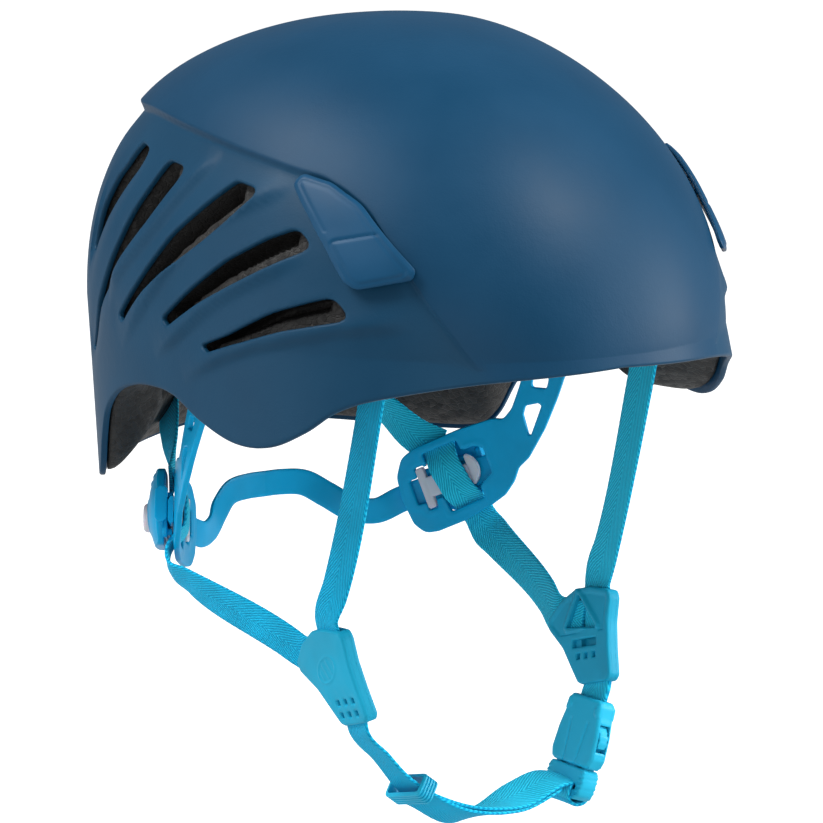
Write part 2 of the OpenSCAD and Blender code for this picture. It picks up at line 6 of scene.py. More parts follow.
import bpy
import numpy as np
from mathutils import Matrix, Vector
from mathutils.kdtree import KDTree
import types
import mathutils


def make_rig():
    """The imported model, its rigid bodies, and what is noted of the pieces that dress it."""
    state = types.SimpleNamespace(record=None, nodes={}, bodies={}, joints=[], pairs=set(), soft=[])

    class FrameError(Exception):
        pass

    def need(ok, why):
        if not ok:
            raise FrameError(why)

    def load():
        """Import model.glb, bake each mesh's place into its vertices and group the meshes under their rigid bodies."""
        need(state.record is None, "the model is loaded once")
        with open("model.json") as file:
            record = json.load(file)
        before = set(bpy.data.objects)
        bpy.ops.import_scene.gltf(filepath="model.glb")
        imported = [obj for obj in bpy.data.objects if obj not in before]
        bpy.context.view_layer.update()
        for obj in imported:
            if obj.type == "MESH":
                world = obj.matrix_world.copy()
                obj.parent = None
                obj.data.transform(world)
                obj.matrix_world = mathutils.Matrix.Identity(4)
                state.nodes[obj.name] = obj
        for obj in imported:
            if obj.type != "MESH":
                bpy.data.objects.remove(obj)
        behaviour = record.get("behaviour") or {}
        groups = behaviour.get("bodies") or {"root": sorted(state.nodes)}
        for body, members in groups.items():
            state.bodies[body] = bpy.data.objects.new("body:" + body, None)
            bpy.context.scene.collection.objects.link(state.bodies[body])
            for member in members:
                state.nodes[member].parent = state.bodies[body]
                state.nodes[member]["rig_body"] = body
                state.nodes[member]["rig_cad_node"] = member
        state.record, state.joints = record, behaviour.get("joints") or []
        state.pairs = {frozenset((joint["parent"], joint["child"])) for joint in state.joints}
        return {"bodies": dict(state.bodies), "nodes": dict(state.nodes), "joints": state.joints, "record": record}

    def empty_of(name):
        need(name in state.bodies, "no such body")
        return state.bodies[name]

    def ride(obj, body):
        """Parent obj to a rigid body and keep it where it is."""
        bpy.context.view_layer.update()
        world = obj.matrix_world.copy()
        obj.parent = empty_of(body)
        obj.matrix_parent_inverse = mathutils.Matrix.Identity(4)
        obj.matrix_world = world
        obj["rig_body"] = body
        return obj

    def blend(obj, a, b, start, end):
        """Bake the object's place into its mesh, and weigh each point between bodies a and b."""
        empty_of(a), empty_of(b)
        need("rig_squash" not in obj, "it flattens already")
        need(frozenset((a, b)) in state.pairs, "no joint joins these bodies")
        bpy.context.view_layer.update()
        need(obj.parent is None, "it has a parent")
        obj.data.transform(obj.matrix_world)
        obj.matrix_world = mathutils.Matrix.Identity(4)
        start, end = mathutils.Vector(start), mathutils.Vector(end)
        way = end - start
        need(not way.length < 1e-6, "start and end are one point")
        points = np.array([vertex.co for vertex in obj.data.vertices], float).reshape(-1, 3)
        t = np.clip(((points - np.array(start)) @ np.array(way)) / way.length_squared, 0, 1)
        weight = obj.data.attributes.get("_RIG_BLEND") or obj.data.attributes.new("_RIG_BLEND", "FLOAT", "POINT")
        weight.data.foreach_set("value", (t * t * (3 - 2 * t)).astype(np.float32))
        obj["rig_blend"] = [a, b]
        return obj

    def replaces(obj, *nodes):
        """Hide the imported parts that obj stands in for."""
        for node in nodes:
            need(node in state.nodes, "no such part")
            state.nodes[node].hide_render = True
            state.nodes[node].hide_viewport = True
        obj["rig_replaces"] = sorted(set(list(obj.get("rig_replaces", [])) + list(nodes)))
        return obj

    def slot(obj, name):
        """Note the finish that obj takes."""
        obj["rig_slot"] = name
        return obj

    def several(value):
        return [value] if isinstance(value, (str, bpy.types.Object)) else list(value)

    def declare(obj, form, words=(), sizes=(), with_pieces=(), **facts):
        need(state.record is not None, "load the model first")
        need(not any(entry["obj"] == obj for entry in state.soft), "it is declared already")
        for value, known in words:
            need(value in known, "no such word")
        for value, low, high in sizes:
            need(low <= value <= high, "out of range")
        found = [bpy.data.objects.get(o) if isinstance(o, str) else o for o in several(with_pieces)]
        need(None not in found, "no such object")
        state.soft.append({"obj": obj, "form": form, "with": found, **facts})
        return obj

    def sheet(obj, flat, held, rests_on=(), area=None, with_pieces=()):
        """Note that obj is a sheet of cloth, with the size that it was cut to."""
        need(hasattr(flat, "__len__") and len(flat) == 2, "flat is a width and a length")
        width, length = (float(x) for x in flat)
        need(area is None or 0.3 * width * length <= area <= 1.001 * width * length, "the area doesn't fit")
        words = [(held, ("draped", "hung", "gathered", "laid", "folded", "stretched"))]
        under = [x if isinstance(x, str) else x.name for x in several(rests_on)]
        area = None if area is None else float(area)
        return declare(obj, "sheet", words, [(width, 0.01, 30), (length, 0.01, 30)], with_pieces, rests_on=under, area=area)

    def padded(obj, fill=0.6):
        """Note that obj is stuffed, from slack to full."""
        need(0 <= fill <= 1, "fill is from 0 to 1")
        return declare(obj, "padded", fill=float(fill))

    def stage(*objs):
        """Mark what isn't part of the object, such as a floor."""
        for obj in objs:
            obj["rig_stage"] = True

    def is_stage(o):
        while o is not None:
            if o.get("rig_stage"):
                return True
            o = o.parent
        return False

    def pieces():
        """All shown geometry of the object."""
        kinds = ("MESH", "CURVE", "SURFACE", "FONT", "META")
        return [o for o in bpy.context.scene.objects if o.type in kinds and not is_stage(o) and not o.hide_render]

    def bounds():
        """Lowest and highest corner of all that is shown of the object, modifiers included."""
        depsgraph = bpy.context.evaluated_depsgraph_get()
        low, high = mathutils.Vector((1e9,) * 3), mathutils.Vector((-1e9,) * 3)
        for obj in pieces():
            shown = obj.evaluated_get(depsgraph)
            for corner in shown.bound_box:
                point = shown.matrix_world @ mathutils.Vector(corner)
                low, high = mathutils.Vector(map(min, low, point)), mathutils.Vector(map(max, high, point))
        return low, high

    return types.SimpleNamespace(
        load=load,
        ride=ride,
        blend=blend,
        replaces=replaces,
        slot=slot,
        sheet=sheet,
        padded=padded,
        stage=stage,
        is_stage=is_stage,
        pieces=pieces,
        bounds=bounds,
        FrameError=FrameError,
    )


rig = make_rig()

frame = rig.load()
cad_low, cad_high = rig.bounds()

MM = 0.001

# ------------------------------------------------------------------ camera and light
VIEW_TURN = math.radians(34)
VIEW_DROP = math.radians(10.5)
CAMERA_BACK, CAMERA_SIDE, CAMERA_DOWN = 1.7, 0.00775, 0.0421
LENS = 196.7
ahead = Vector((math.sin(VIEW_TURN) * math.cos(VIEW_DROP), math.cos(VIEW_TURN) * math.cos(VIEW_DROP),
                -math.sin(VIEW_DROP)))
right = Vector((math.cos(VIEW_TURN), -math.sin(VIEW_TURN), 0))
above = right.cross(ahead)
cam_data = bpy.data.cameras.new("camera")
cam_data.sensor_width = 36
cam_data.lens = LENS
camera = bpy.data.objects.new("camera", cam_data)
bpy.context.scene.collection.objects.link(camera)
camera.location = -CAMERA_BACK * ahead + CAMERA_SIDE * right - CAMERA_DOWN * above
camera.rotation_euler = ahead.to_track_quat("-Z", "Y").to_euler()
cam_data.clip_end = 60
bpy.context.scene.camera = camera
bpy.context.scene.view_settings.view_transform = "Standard"


def light(name, place, aim, size, watts):
    data = bpy.data.lights.new(name, "AREA")
    data.size = size
    data.energy = watts
    lamp = bpy.data.objects.new(name, data)
    lamp.location = place
    lamp.rotation_euler = (Vector(aim) - Vector(place)).to_track_quat("-Z", "Y").to_euler()
    bpy.context.scene.collection.objects.link(lamp)


light("side_right", 2.0 * right + 0.35 * above - 0.1 * ahead, (0, 0, 0.03), 1.1, 36)
light("top_right", 1.1 * right + 1.5 * above - 0.7 * ahead, (0, 0, 0.05), 0.8, 30)
light("top_left", -1.3 * right + 1.6 * above - 0.5 * ahead, (0, 0, 0.05), 0.9, 40)
light("side_left", -2.0 * right + 0.3 * above - 0.3 * ahead, (0, 0, 0), 1.2, 8)
light("front_low", -0.3 * right - 0.2 * above - 2.2 * ahead, (0, 0, -0.1), 1.2, 9)

world = bpy.data.worlds.new("studio")
bpy.context.scene.world = world
world.use_nodes = True
world.node_tree.nodes["Background"].inputs["Color"].default_value = (1, 1, 1, 1)
world.node_tree.nodes["Background"].inputs["Strength"].default_value = 0.22


# ------------------------------------------------------------------ materials
def material(name, colour, rough=0.45, **sockets):
    m = bpy.data.materials.new(name)
    m.use_nodes = True
    shader = m.node_tree.nodes["Principled BSDF"]
    shader.inputs["Base Color"].default_value = (*colour, 1)
    shader.inputs["Roughness"].default_value = rough
    for socket, value in sockets.items():
        shader.inputs[socket.replace("_", " ")].default_value = value
    return m


def node(m, kind, links=None, **values):
    """A shader node. values set its sockets or properties, and links are {socket: (node, output)}."""
    n = m.node_tree.nodes.new(kind)
    for key, value in values.items():
        key = key.replace("__", " ")
        if key in n.inputs:
            n.inputs[key].default_value = value
        else:
            setattr(n, key, value)
    for socket, (source, output) in (links or {}).items():
        m.node_tree.links.new(source.outputs[output], n.inputs[socket])
    return n


def times(m, source, output, factor):
    n = node(m, "ShaderNodeMath", {0: (source, output)}, operation="MULTIPLY")
    n.inputs[1].default_value = factor
    return n


def plug(m, source, output, socket):
    m.node_tree.links.new(source.outputs[output], m.node_tree.nodes["Principled BSDF"].inputs[socket])


def ramp(m, source, output, stops):
    n = node(m, "ShaderNodeValToRGB", {"Fac": (source, output)})
    while len(n.color_ramp.elements) < len(stops):
        n.color_ramp.elements.new(0.5)
    for e, (at, colour) in zip(n.color_ramp.elements, stops):
        e.position = at
        e.color = (*colour, 1)
    return n


def grain(m, scale, height, extra=None):
    """Fine grain as bump, over the bump of an earlier node if there is one."""
    where = node(m, "ShaderNodeTexCoord")
    noise = node(m, "ShaderNodeTexNoise", {"Vector": (where, "Object")}, Scale=scale, Detail=2.0,
                 Roughness=0.55)
    bump = node(m, "ShaderNodeBump", {"Height": (noise, "Fac")}, Distance=height, Strength=1.0)
    if extra:
        m.node_tree.links.new(extra.outputs["Normal"], bump.inputs["Normal"])
    plug(m, bump, "Normal", "Normal")


def plastic(name, colour, rough, scale=1500, height=0.00002, shift=0.08, **sockets):
    """Moulded plastic with fine grain, slow changes of tone and uneven gloss."""
    m = material(name, colour, rough, **{"Specular_IOR_Level": 0.14, **sockets})
    where = node(m, "ShaderNodeTexCoord")
    slow = node(m, "ShaderNodeTexNoise", {"Vector": (where, "Object")}, Scale=35.0, Detail=4.0)
    dark = tuple(c * (1 - shift) for c in colour)
    pale = tuple(min(1, c * (1 + shift)) for c in colour)
    tone = ramp(m, slow, "Fac", [(0.35, dark), (0.65, pale)])
    plug(m, tone, "Color", "Base Color")
    gloss = ramp(m, slow, "Fac", [(0.3, (rough - 0.05,) * 3), (0.7, (rough + 0.05,) * 3)])
    plug(m, gloss, "Color", "Roughness")
    grain(m, scale, height)
    return m


SHELL_BLUE = (0.008, 0.062, 0.13)
CLIP_BLUE = (0.005, 0.056, 0.128)
CYAN = (0.008, 0.34, 0.54)
BUCKLE_CYAN = (0.016, 0.43, 0.66)
AZURE = (0.0, 0.355, 0.67)


def shell_material():
    """Satin shell: smooth crown, slightly paler and duller below the crease, fine grain all over."""
    m = material("shell_satin", SHELL_BLUE, 0.45, Specular_IOR_Level=0.14)
    zone = node(m, "ShaderNodeAttribute", attribute_name="zone")
    where = node(m, "ShaderNodeTexCoord")
    slow = node(m, "ShaderNodeTexNoise", {"Vector": (where, "Object")}, Scale=22.0, Detail=5.0)
    crown = ramp(m, slow, "Fac", [(0.35, (0.003, 0.041, 0.094)), (0.65, (0.005, 0.047, 0.105))])
    panel = ramp(m, slow, "Fac", [(0.35, (0.004, 0.043, 0.094)), (0.65, (0.006, 0.05, 0.106))])
    tone = node(m, "ShaderNodeMix", {"Factor": (zone, "Fac"), "A": (crown, "Color"),
                                     "B": (panel, "Color")}, data_type="RGBA")
    plug(m, tone, "Result", "Base Color")
    gloss = node(m, "ShaderNodeMapRange", {"Value": (slow, "Fac")}, **{
        "From__Min": 0.3, "From__Max": 0.7, "To__Min": 0.42, "To__Max": 0.5})
    plug(m, gloss, "Result", "Roughness")
    cells = node(m, "ShaderNodeTexVoronoi", {"Vector": (where, "Object")}, Scale=1400.0)
    fine = node(m, "ShaderNodeBump", {"Height": (cells, "Distance")}, Distance=0.00004,
                Strength=0.5)
    grain(m, 260.0, 0.00006, fine)
    return m


def foam_material(name, dark, pale, beads, lift):
    """Moulded bead foam: packed cells with pressed, slightly paler faces."""
    m = material(name, dark, 0.72)
    where = node(m, "ShaderNodeTexCoord")
    warp = node(m, "ShaderNodeTexNoise", {"Vector": (where, "Object")}, Scale=beads * 0.5)
    cells = node(m, "ShaderNodeTexVoronoi", {"Vector": (where, "Object")}, Scale=beads,
                 feature="F1")
    edge = node(m, "ShaderNodeTexVoronoi", {"Vector": (where, "Object")}, Scale=beads,
                feature="DISTANCE_TO_EDGE")
    both = node(m, "ShaderNodeMath", {0: (cells, "Color"), 1: (warp, "Fac")}, operation="ADD")
    tone = ramp(m, both, "Value", [(0.35, dark), (0.95, pale)])
    plug(m, tone, "Color", "Base Color")
    seam = node(m, "ShaderNodeMapRange", {"Value": (edge, "Distance")}, **{
        "From__Min": 0.0, "From__Max": 0.12})
    bump = node(m, "ShaderNodeBump", {"Height": (seam, "Result")}, Distance=lift, Strength=0.7)
    grain(m, beads * 4, lift * 0.6, bump)
    gloss = node(m, "ShaderNodeMapRange", {"Value": (both, "Value")}, **{
        "From__Min": 0.3, "From__Max": 1.3, "To__Min": 0.85, "To__Max": 0.55})
    plug(m, gloss, "Result", "Roughness")
    return m


SHELL = shell_material()
FOAM = foam_material("side_foam_beads", (0.002, 0.002, 0.0025), (0.008, 0.0075, 0.007), 420.0, 0.0002)
CROWN_FOAM = foam_material("crown_foam_beads", (0.008, 0.008, 0.009), (0.02, 0.019, 0.019), 340.0, 0.00025)
CLIP = plastic("clip_satin", CLIP_BLUE, 0.4)
PLATE = plastic("headband_satin", AZURE, 0.38)
DIVIDE = plastic("divider_satin", CYAN, 0.46)
BUCKLE = plastic("buckle_satin", BUCKLE_CYAN, 0.34)
ADJUST = plastic("adjuster_satin", AZURE, 0.34)
LOCK = plastic("lock_milky", (0.62, 0.6, 0.68), 0.35, shift=0.03, Subsurface_Weight=0.25)
ANCHOR = plastic("anchor_grey", (0.02, 0.02, 0.022), 0.5)


# ------------------------------------------------------------------ meshes
def shown(name):
    """The name of a visible piece. It can't be the name of the node it stands for."""
    return f"{name}_look" if name in frame["nodes"] else name


def make(name, points, faces, mat, body, slot=None, smooth=45, uv=None, marks=None):
    """A mesh piece from points in millimetres. marks are {attribute: value for each point}."""
    used = np.unique(np.concatenate([np.asarray(f, int) for f in faces]))
    row = np.full(len(points), -1)
    row[used] = np.arange(len(used))
    name = shown(name)
    me = bpy.data.meshes.new(name)
    kept = np.asarray(points, float)[used] * MM
    me.from_pydata(kept.tolist(), [], [tuple(row[list(f)].tolist()) for f in faces])
    me.validate()
    me.shade_smooth()
    if smooth < 180:
        me.set_sharp_from_angle(angle=math.radians(smooth))
    for key, values in (marks or {}).items():
        me.attributes.new(key, "FLOAT", "POINT").data.foreach_set(
            "value", np.asarray(values, np.float32)[used])
    if uv is not None:
        layer = me.uv_layers.new(name="uv")
        corner = np.zeros(len(me.loops), int)
        me.loops.foreach_get("vertex_index", corner)
        layer.data.foreach_set("uv", np.asarray(uv, np.float32)[used][corner].ravel())
    me.materials.append(mat)
    o = bpy.data.objects.new(name, me)
    bpy.context.scene.collection.objects.link(o)
    if body:
        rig.ride(o, body)
    if slot:
        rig.slot(o, slot)
    return o


def unit(v):
    v = np.asarray(v, float)
    return v / np.maximum(np.linalg.norm(v, axis=-1, keepdims=True), 1e-12)


def ease(x):
    x = np.clip(x, 0, 1)
    return x * x * (3 - 2 * x)


def smooth_line(points, steps):
    """Catmull-Rom curve through points of any dimension."""
    p = np.asarray(points, float)
    n = len(p) - 1
    out = []
    for i in range(n):
        a, b, c, d = p[max(i - 1, 0)], p[i], p[i + 1], p[min(i + 2, n)]
        for t in np.arange(steps) / steps:
            out.append(b + 0.5 * t * (c - a + t * (2 * a - 5 * b + 4 * c - d + t * (3 * (b - c) + d - a))))
    out.append(p[n])
    return np.array(out)


def rounded(corners, radius, steps=5):
    """Closed outline with its corners rounded. A corner may carry its own radius as a third number."""
    out = []
    n = len(corners)
    for i, corner in enumerate(corners):
        r = corner[2] if len(corner) > 2 else radius
        p = np.array(corner[:2], float)
        a, b = np.array(corners[i - 1][:2], float), np.array(corners[(i + 1) % n][:2], float)
        u, w = unit(a - p), unit(b - p)
        half = math.acos(max(-1, min(1, float(u @ w)))) / 2
        room = 0.48 * min(np.linalg.norm(a - p), np.linalg.norm(b - p))
        reach = min(r / max(math.tan(half), 1e-6), room)
        if reach < 1e-3 or half > math.radians(88):
            out.append(p)
            continue
        s, e = p + u * reach, p + w * reach
        for t in np.linspace(0, 1, steps):
            out.append((1 - t) ** 2 * s + 2 * t * (1 - t) * p + t * t * e)
    return np.array(out)


# ------------------------------------------------------------------ form of the helmet
HALF_W, FRONT, REAR, CROWN, SHELL_T = 104, 148, 131, 109, 2.4
PLAN_POWER = 2.2
# the share of v = 1 that one millimetre takes below the widest level
V_DROP = 100


def size(side, front=None, rear=None, top=None):
    return (HALF_W - side, FRONT - (side if front is None else front),
            REAR - (side if rear is None else rear), CROWN - (side if top is None else top))


def weights(psi):
    c = np.cos(np.radians(psi))
    front, rear = np.maximum(c, 0) ** 1.5, np.maximum(-c, 0) ** 1.5
    return front, 1 - front - rear, rear


def lean_power(psi):
    """How fast the form widens below the crown."""
    front, flank, rear = weights(psi)
    return 1.04 * front + 0.79 * flank + 0.97 * rear


def drop_power(psi):
    """How fast the form falls away from the crown."""
    front, flank, rear = weights(psi)
    return 1.1 * front + flank + 0.82 * rear


def folded(psi):
    """The angle from the front, 0 to 180 on either side."""
    return np.abs((psi + 180) % 360 - 180)


def form(psi, v, dims):
    """Points of the helmet's form, as in the CAD: psi from the front, v down from the crown."""
    psi, v = np.broadcast_arrays(np.asarray(psi, float), np.asarray(v, float))
    s, c = np.sin(np.radians(psi)), np.cos(np.radians(psi))
    side, front_len, rear_len, top = [np.asarray(d, float) for d in dims]
    reach = np.where(c > 0, front_len, rear_len)
    plan = ((np.abs(s) / side) ** PLAN_POWER + (np.abs(c) / reach) ** PLAN_POWER) ** (-1 / PLAN_POWER)
    front, flank, rear = weights(psi)
    up = np.radians(np.minimum(v, 1) * 90)
    lean = np.sin(up) ** lean_power(psi)
    below = np.maximum(v - 1, 0) * V_DROP
    r = plan * lean + (0.28 * front + 0.02 * flank - 0.12 * rear) * below
    return np.stack([r * s, -r * c - 6 * (1 - lean),
                     top * np.maximum(np.cos(up), 0) ** drop_power(psi) - below], -1)


def v_at(psi, z):
    """The v at which the form has the height z."""
    z = np.asarray(z, float)
    up = np.arccos(np.clip(np.maximum(z, 0) / CROWN, 0, 1) ** (1 / drop_power(psi)))
    return np.where(z < 0, 1 - z / V_DROP, np.degrees(up) / 90)


def side_curve(table):
    """Smooth function of the angle from the front, mirrored side to side."""
    table = np.array(table, float)
    line = smooth_line(table, 12)
    return lambda psi: np.interp(folded(np.asarray(psi, float)), line[:, 0], line[:, 1])


RIM = [[0, -4], [20, -7], [34, -13], [42, -19], [48, -28], [55, -35], [63, -36], [73, -31],
       [83, -24], [92, -23], [100, -25], [108, -30], [115, -39], [119, -50], [123, -63], [128, -69],
       [140, -70], [156, -68], [180, -63]]
rim_z = side_curve(RIM)


def rim_v(psi):
    return 1 - rim_z(psi) / V_DROP


CREASE = [[0, -60], [16, -22], [20, -7.5], [24.5, 7.6], [29.5, 24], [32.5, 34], [38, 50], [46, 58.5],
          [53.5, 61], [68, 65], [89.5, 69.5], [117, 72.5], [139.5, 71], [160, 72], [180, 73]]
crease_z = side_curve(CREASE)
step_height = side_curve([[0, 0], [17, 0], [24, 0.5], [32, 0.9], [46, 1.2], [68, 1.7], [90, 2.2],
                          [117, 2.7], [139, 3.1], [180, 3.2]])

# corners of the vents on the left, [angle from the front, height, corner radius in mm]
VENTS = [
    [[108, 60.5, 3.5], [115.5, 62.2, 3.5], [123, 48, 20], [127.5, 33, 20], [127.5, 19, 1], [125, 19, 1],
     [119, 35, 20], [113, 49, 20]],
    [[87.2, 57.4, 5], [97.6, 58.9, 5], [102, 47, 30], [108.5, 31.6, 40], [120.5, 0, 40], [126.4, -19, 1.4],
     [124.2, -19, 1.4], [118, 0, 40], [109.5, 13.8, 40], [97, 36.4, 40]],
    [[61, 53.5, 5], [69.8, 56, 6], [77, 47, 30], [87, 33.6, 40], [98.5, 12.5, 30], [106, -0.4, 1.4],
     [103.6, -2, 1.4], [94, 12, 40], [75.5, 34.5, 40]],
    [[47.8, 36.8, 4], [51.6, 42.6, 5], [58, 38, 20], [68, 28.4, 40], [79, 14.5, 30], [87.2, 3.2, 1.6],
     [84.6, 1, 1.6], [74.5, 11.5, 40], [62, 23.2, 40]],
    [[39.8, 13, 4], [43.4, 20.4, 5], [48, 17.6, 20], [55.5, 12.5, 40], [66, 2, 30], [73.2, -3.2, 1.6],
     [71, -5.2, 1.6], [62, 0.6, 40], [52.5, 6.8, 40]]]
# crests beside the vents on the left, [angle from the front, height]
CRESTS = [[[112, 6], [106, 16], [95.5, 32], [85.5, 51], [77.5, 65]],
          [[104.5, -12], [92, 11], [78.5, 33.3], [66, 47], [53.5, 57.5]],
          [[90, -11.5], [80, 0.5], [71, 12.3], [60, 23.5], [48.5, 34]],
          [[79.5, -17.5], [67, -5.5], [54.5, 2.9], [42, 9.5], [30, 13]]]
# on the helmet's sides, where the vents are, one degree round is about this long
MM_PER_DEGREE = 1.7


def tree_of(points):
    tree = KDTree(len(points))
    for i, p in enumerate(points):
        tree.insert(Vector(p), i)
    tree.balance()
    return tree


def nearest(tree, points):
    """For each point: distance to, index of and place of the nearest one in the tree."""
    found = [tree.find(Vector(p)) for p in points]
    return (np.array([f[2] for f in found]), np.array([f[1] for f in found]),
            np.array([list(f[0]) for f in found]))


def on_form(line):
    line = np.asarray(line, float)
    return form(line[:, 0], v_at(line[:, 0], line[:, 1]), size(0))


def inside(outline, x, y):
    """Which of the points (x, y) lie in the closed outline."""
    hit = np.zeros(len(x), bool)
    for (x0, y0), (x1, y1) in zip(outline, np.roll(outline, -1, axis=0)):
        crosses = (y0 > y) != (y1 > y)
        with np.errstate(divide="ignore", invalid="ignore"):
            at = (x1 - x0) * (y - y0) / (y1 - y0) + x0
        hit ^= crosses & (x < at)
    return hit


def vent_outline(corners):
    """Dense closed outline of a vent in [angle, height]."""
    flat = [[a * MM_PER_DEGREE, z, r] for a, z, r in corners]
    line = rounded(flat, 2, 6)
    dense = []
    for p, q in zip(line, np.roll(line, -1, axis=0)):
        n = max(1, int(np.linalg.norm(q - p) / 0.5))
        dense += [p + (q - p) * t for t in np.arange(n) / n]
    return np.array(dense) / [MM_PER_DEGREE, 1]


VENT_LINES = [vent_outline(v) for v in VENTS]
VENT_REACH = 14


def to_left(psi, points):
    """The points with those on the right mirrored to the left, and the signs that do it."""
    signs = np.ones((len(psi), 3))
    signs[(psi + 180) % 360 - 180 < 0, 0] = -1
    return points * signs, signs


def vent_distance(psi, z, points):
    """Signed distance in mm to the nearest vent, negative inside, and the nearest place on its edge.
    Points further than VENT_REACH from every vent get a large distance."""
    angle = folded(psi)
    best = np.full(len(psi), 99.0)
    foot = points.copy()
    left, signs = to_left(psi, points)
    degrees = VENT_REACH / 1.4
    for line in VENT_LINES:
        low, high = line.min(0), line.max(0)
        near = np.flatnonzero((angle > low[0] - degrees) & (angle < high[0] + degrees)
                              & (z > low[1] - VENT_REACH) & (z < high[1] + VENT_REACH))
        if not len(near):
            continue
        d, _, spots = nearest(tree_of(on_form(line)), left[near])
        d = np.where(inside(line, angle[near], z[near]), -d, d)
        closer = d < best[near]
        rows = near[closer]
        best[rows] = d[closer]
        foot[rows] = spots[closer] * signs[rows]
    return best, foot


CREST_HEIGHT, CREST_BELOW, CREST_ABOVE = 1.9, 2.0, 7.5
REAR_DIP = 1.1


def crest_height(psi, points):
    """Height of the soft ridges beside the vents, less a dip round the rear ends of the vents."""
    left = to_left(psi, points)[0]
    total = np.zeros(len(psi))
    for crest in CRESTS:
        line = on_form(smooth_line(crest, 14))
        d, i, spots = nearest(tree_of(line), left)
        close = d < 16
        along = unit(np.gradient(line, axis=0))[i]
        across = np.cross(along, unit(spots * [1, 1, 0.6]))
        side = np.sign(np.einsum("ij,ij->i", left - spots, across))
        low = side * np.sign(across[:, 2] + 1e-9) < 0
        t = i / (len(line) - 1)
        fade = ease(np.clip(t / 0.22, 0, 1) * np.clip((1 - t) / 0.2, 0, 1))
        shape = np.where(low, np.exp(-(d / CREST_BELOW) ** 2), np.exp(-(d / CREST_ABOVE) ** 1.6))
        total = np.maximum(total, np.where(close, CREST_HEIGHT * fade * shape, 0))
    z = points[:, 2]
    dipped = ease((folded(psi) - 104) / 8) * ease((62 - z) / 10) * ease((z + 30) / 20)
    d = np.abs(vent_distance(psi, z, points)[0])
    return total - REAR_DIP * dipped * np.exp(-(d / 5) ** 2)


# ------------------------------------------------------------------ solids from clipped grids
def clip_quads(value, quads):
    """The parts of the quads where value is at least 0: faces, cut edges [a, b, share] and borders."""
    n = len(value)
    kept = value >= 0
    count = kept[quads].sum(1)
    faces = quads[count == 4].tolist()
    known, cuts, border = {}, [], []

    def cut(a, b):
        key = (min(a, b), max(a, b))
        if key not in known:
            known[key] = n + len(cuts)
            p, q = value[key[0]], value[key[1]]
            cuts.append((*key, p / (p - q)))
        return known[key]

    for quad in quads[(count > 0) & (count < 4)].tolist():
        ring = []
        for k in range(4):
            a, b = quad[k], quad[(k + 1) % 4]
            if kept[a]:
                ring.append(a)
            if kept[a] != kept[b]:
                ring.append(cut(a, b))
        faces.append(ring)
        border += [(a, b) for a, b in zip(ring, ring[1:] + ring[:1]) if a >= n and b >= n]
    return faces, cuts, border


def two_sided(params, faces, border, feet, place, top, low, edge, low_edge=None, steps=3):
    """A closed solid over faces in parameter space, with rounded borders that lean to the feet.
    place(params, height) gives points; top and low are the heights of the two sides."""
    low_edge = edge if low_edge is None else low_edge
    n = len(params)
    blocks = [place(params, top), place(params, low)]
    out = list(faces) + [[i + n for i in reversed(f)] for f in faces]
    ids = sorted({i for e in border for i in e})
    row = {v: k for k, v in enumerate(ids)}
    ids = np.array(ids)
    p, f = params[ids], feet
    angles = np.radians(np.linspace(90 / steps, 90, steps))
    rings = [(p + (f - p) * math.sin(a), top[ids] - edge * (1 - math.cos(a))) for a in angles]
    rings += [(p + (f - p) * math.cos(a), low[ids] + low_edge * (1 - math.sin(a)))
              for a in np.radians(np.linspace(0, 90 - 90 / steps, steps))]
    before = ids
    count = 2 * n
    for where, height in rings:
        blocks.append(place(where, height))
        after = count + np.arange(len(ids))
        out += [[int(before[row[b]]), int(before[row[a]]), int(after[row[a]]), int(after[row[b]])]
                for a, b in border]
        before = after
        count += len(ids)
    last = ids + n
    out += [[int(before[row[b]]), int(before[row[a]]), int(last[row[a]]), int(last[row[b]])]
            for a, b in border]
    return np.concatenate(blocks), out


# ------------------------------------------------------------------ shell
STEP_HALF = 0.010
LIP = 0.9


def columns_round(fine, coarse):
    """Angles round the helmet from the front, closer together at the sides."""
    half = np.concatenate([np.arange(0, 28, coarse), np.arange(28, 130, fine),
                           np.arange(130, 179.6, coarse)])
    return np.concatenate([-half[:0:-1], half, [180.0]])


def normals_of(psi, v):
    along = form(psi + 0.05, v, size(0)) - form(psi - 0.05, v, size(0))
    down = form(psi, v + 0.0008, size(0)) - form(psi, np.maximum(v - 0.0008, 0.0004), size(0))
    return unit(np.cross(down, along))


crease_angles = np.arange(-180, 180, 0.25)
crease_line = form(crease_angles, v_at(crease_angles, np.maximum(crease_z(crease_angles), -40)), size(0))
crease_tree = tree_of(crease_line)


def crown_relief(psi, v, points):
    """Height of the crown's proud edge over the smooth form, and the share of the point below it."""
    d = nearest(crease_tree, points)[0]
    d = np.where(v < v_at(psi, crease_z(psi)), d, -d)
    height = step_height(psi)
    share = ease((d + 1.5) / 2.5)
    return height * (np.exp(-(np.maximum(d, 0) / 36) ** 2) * share
                     - 0.22 * np.exp(-((d + 3) / 9) ** 2) * (1 - share)), 1 - share


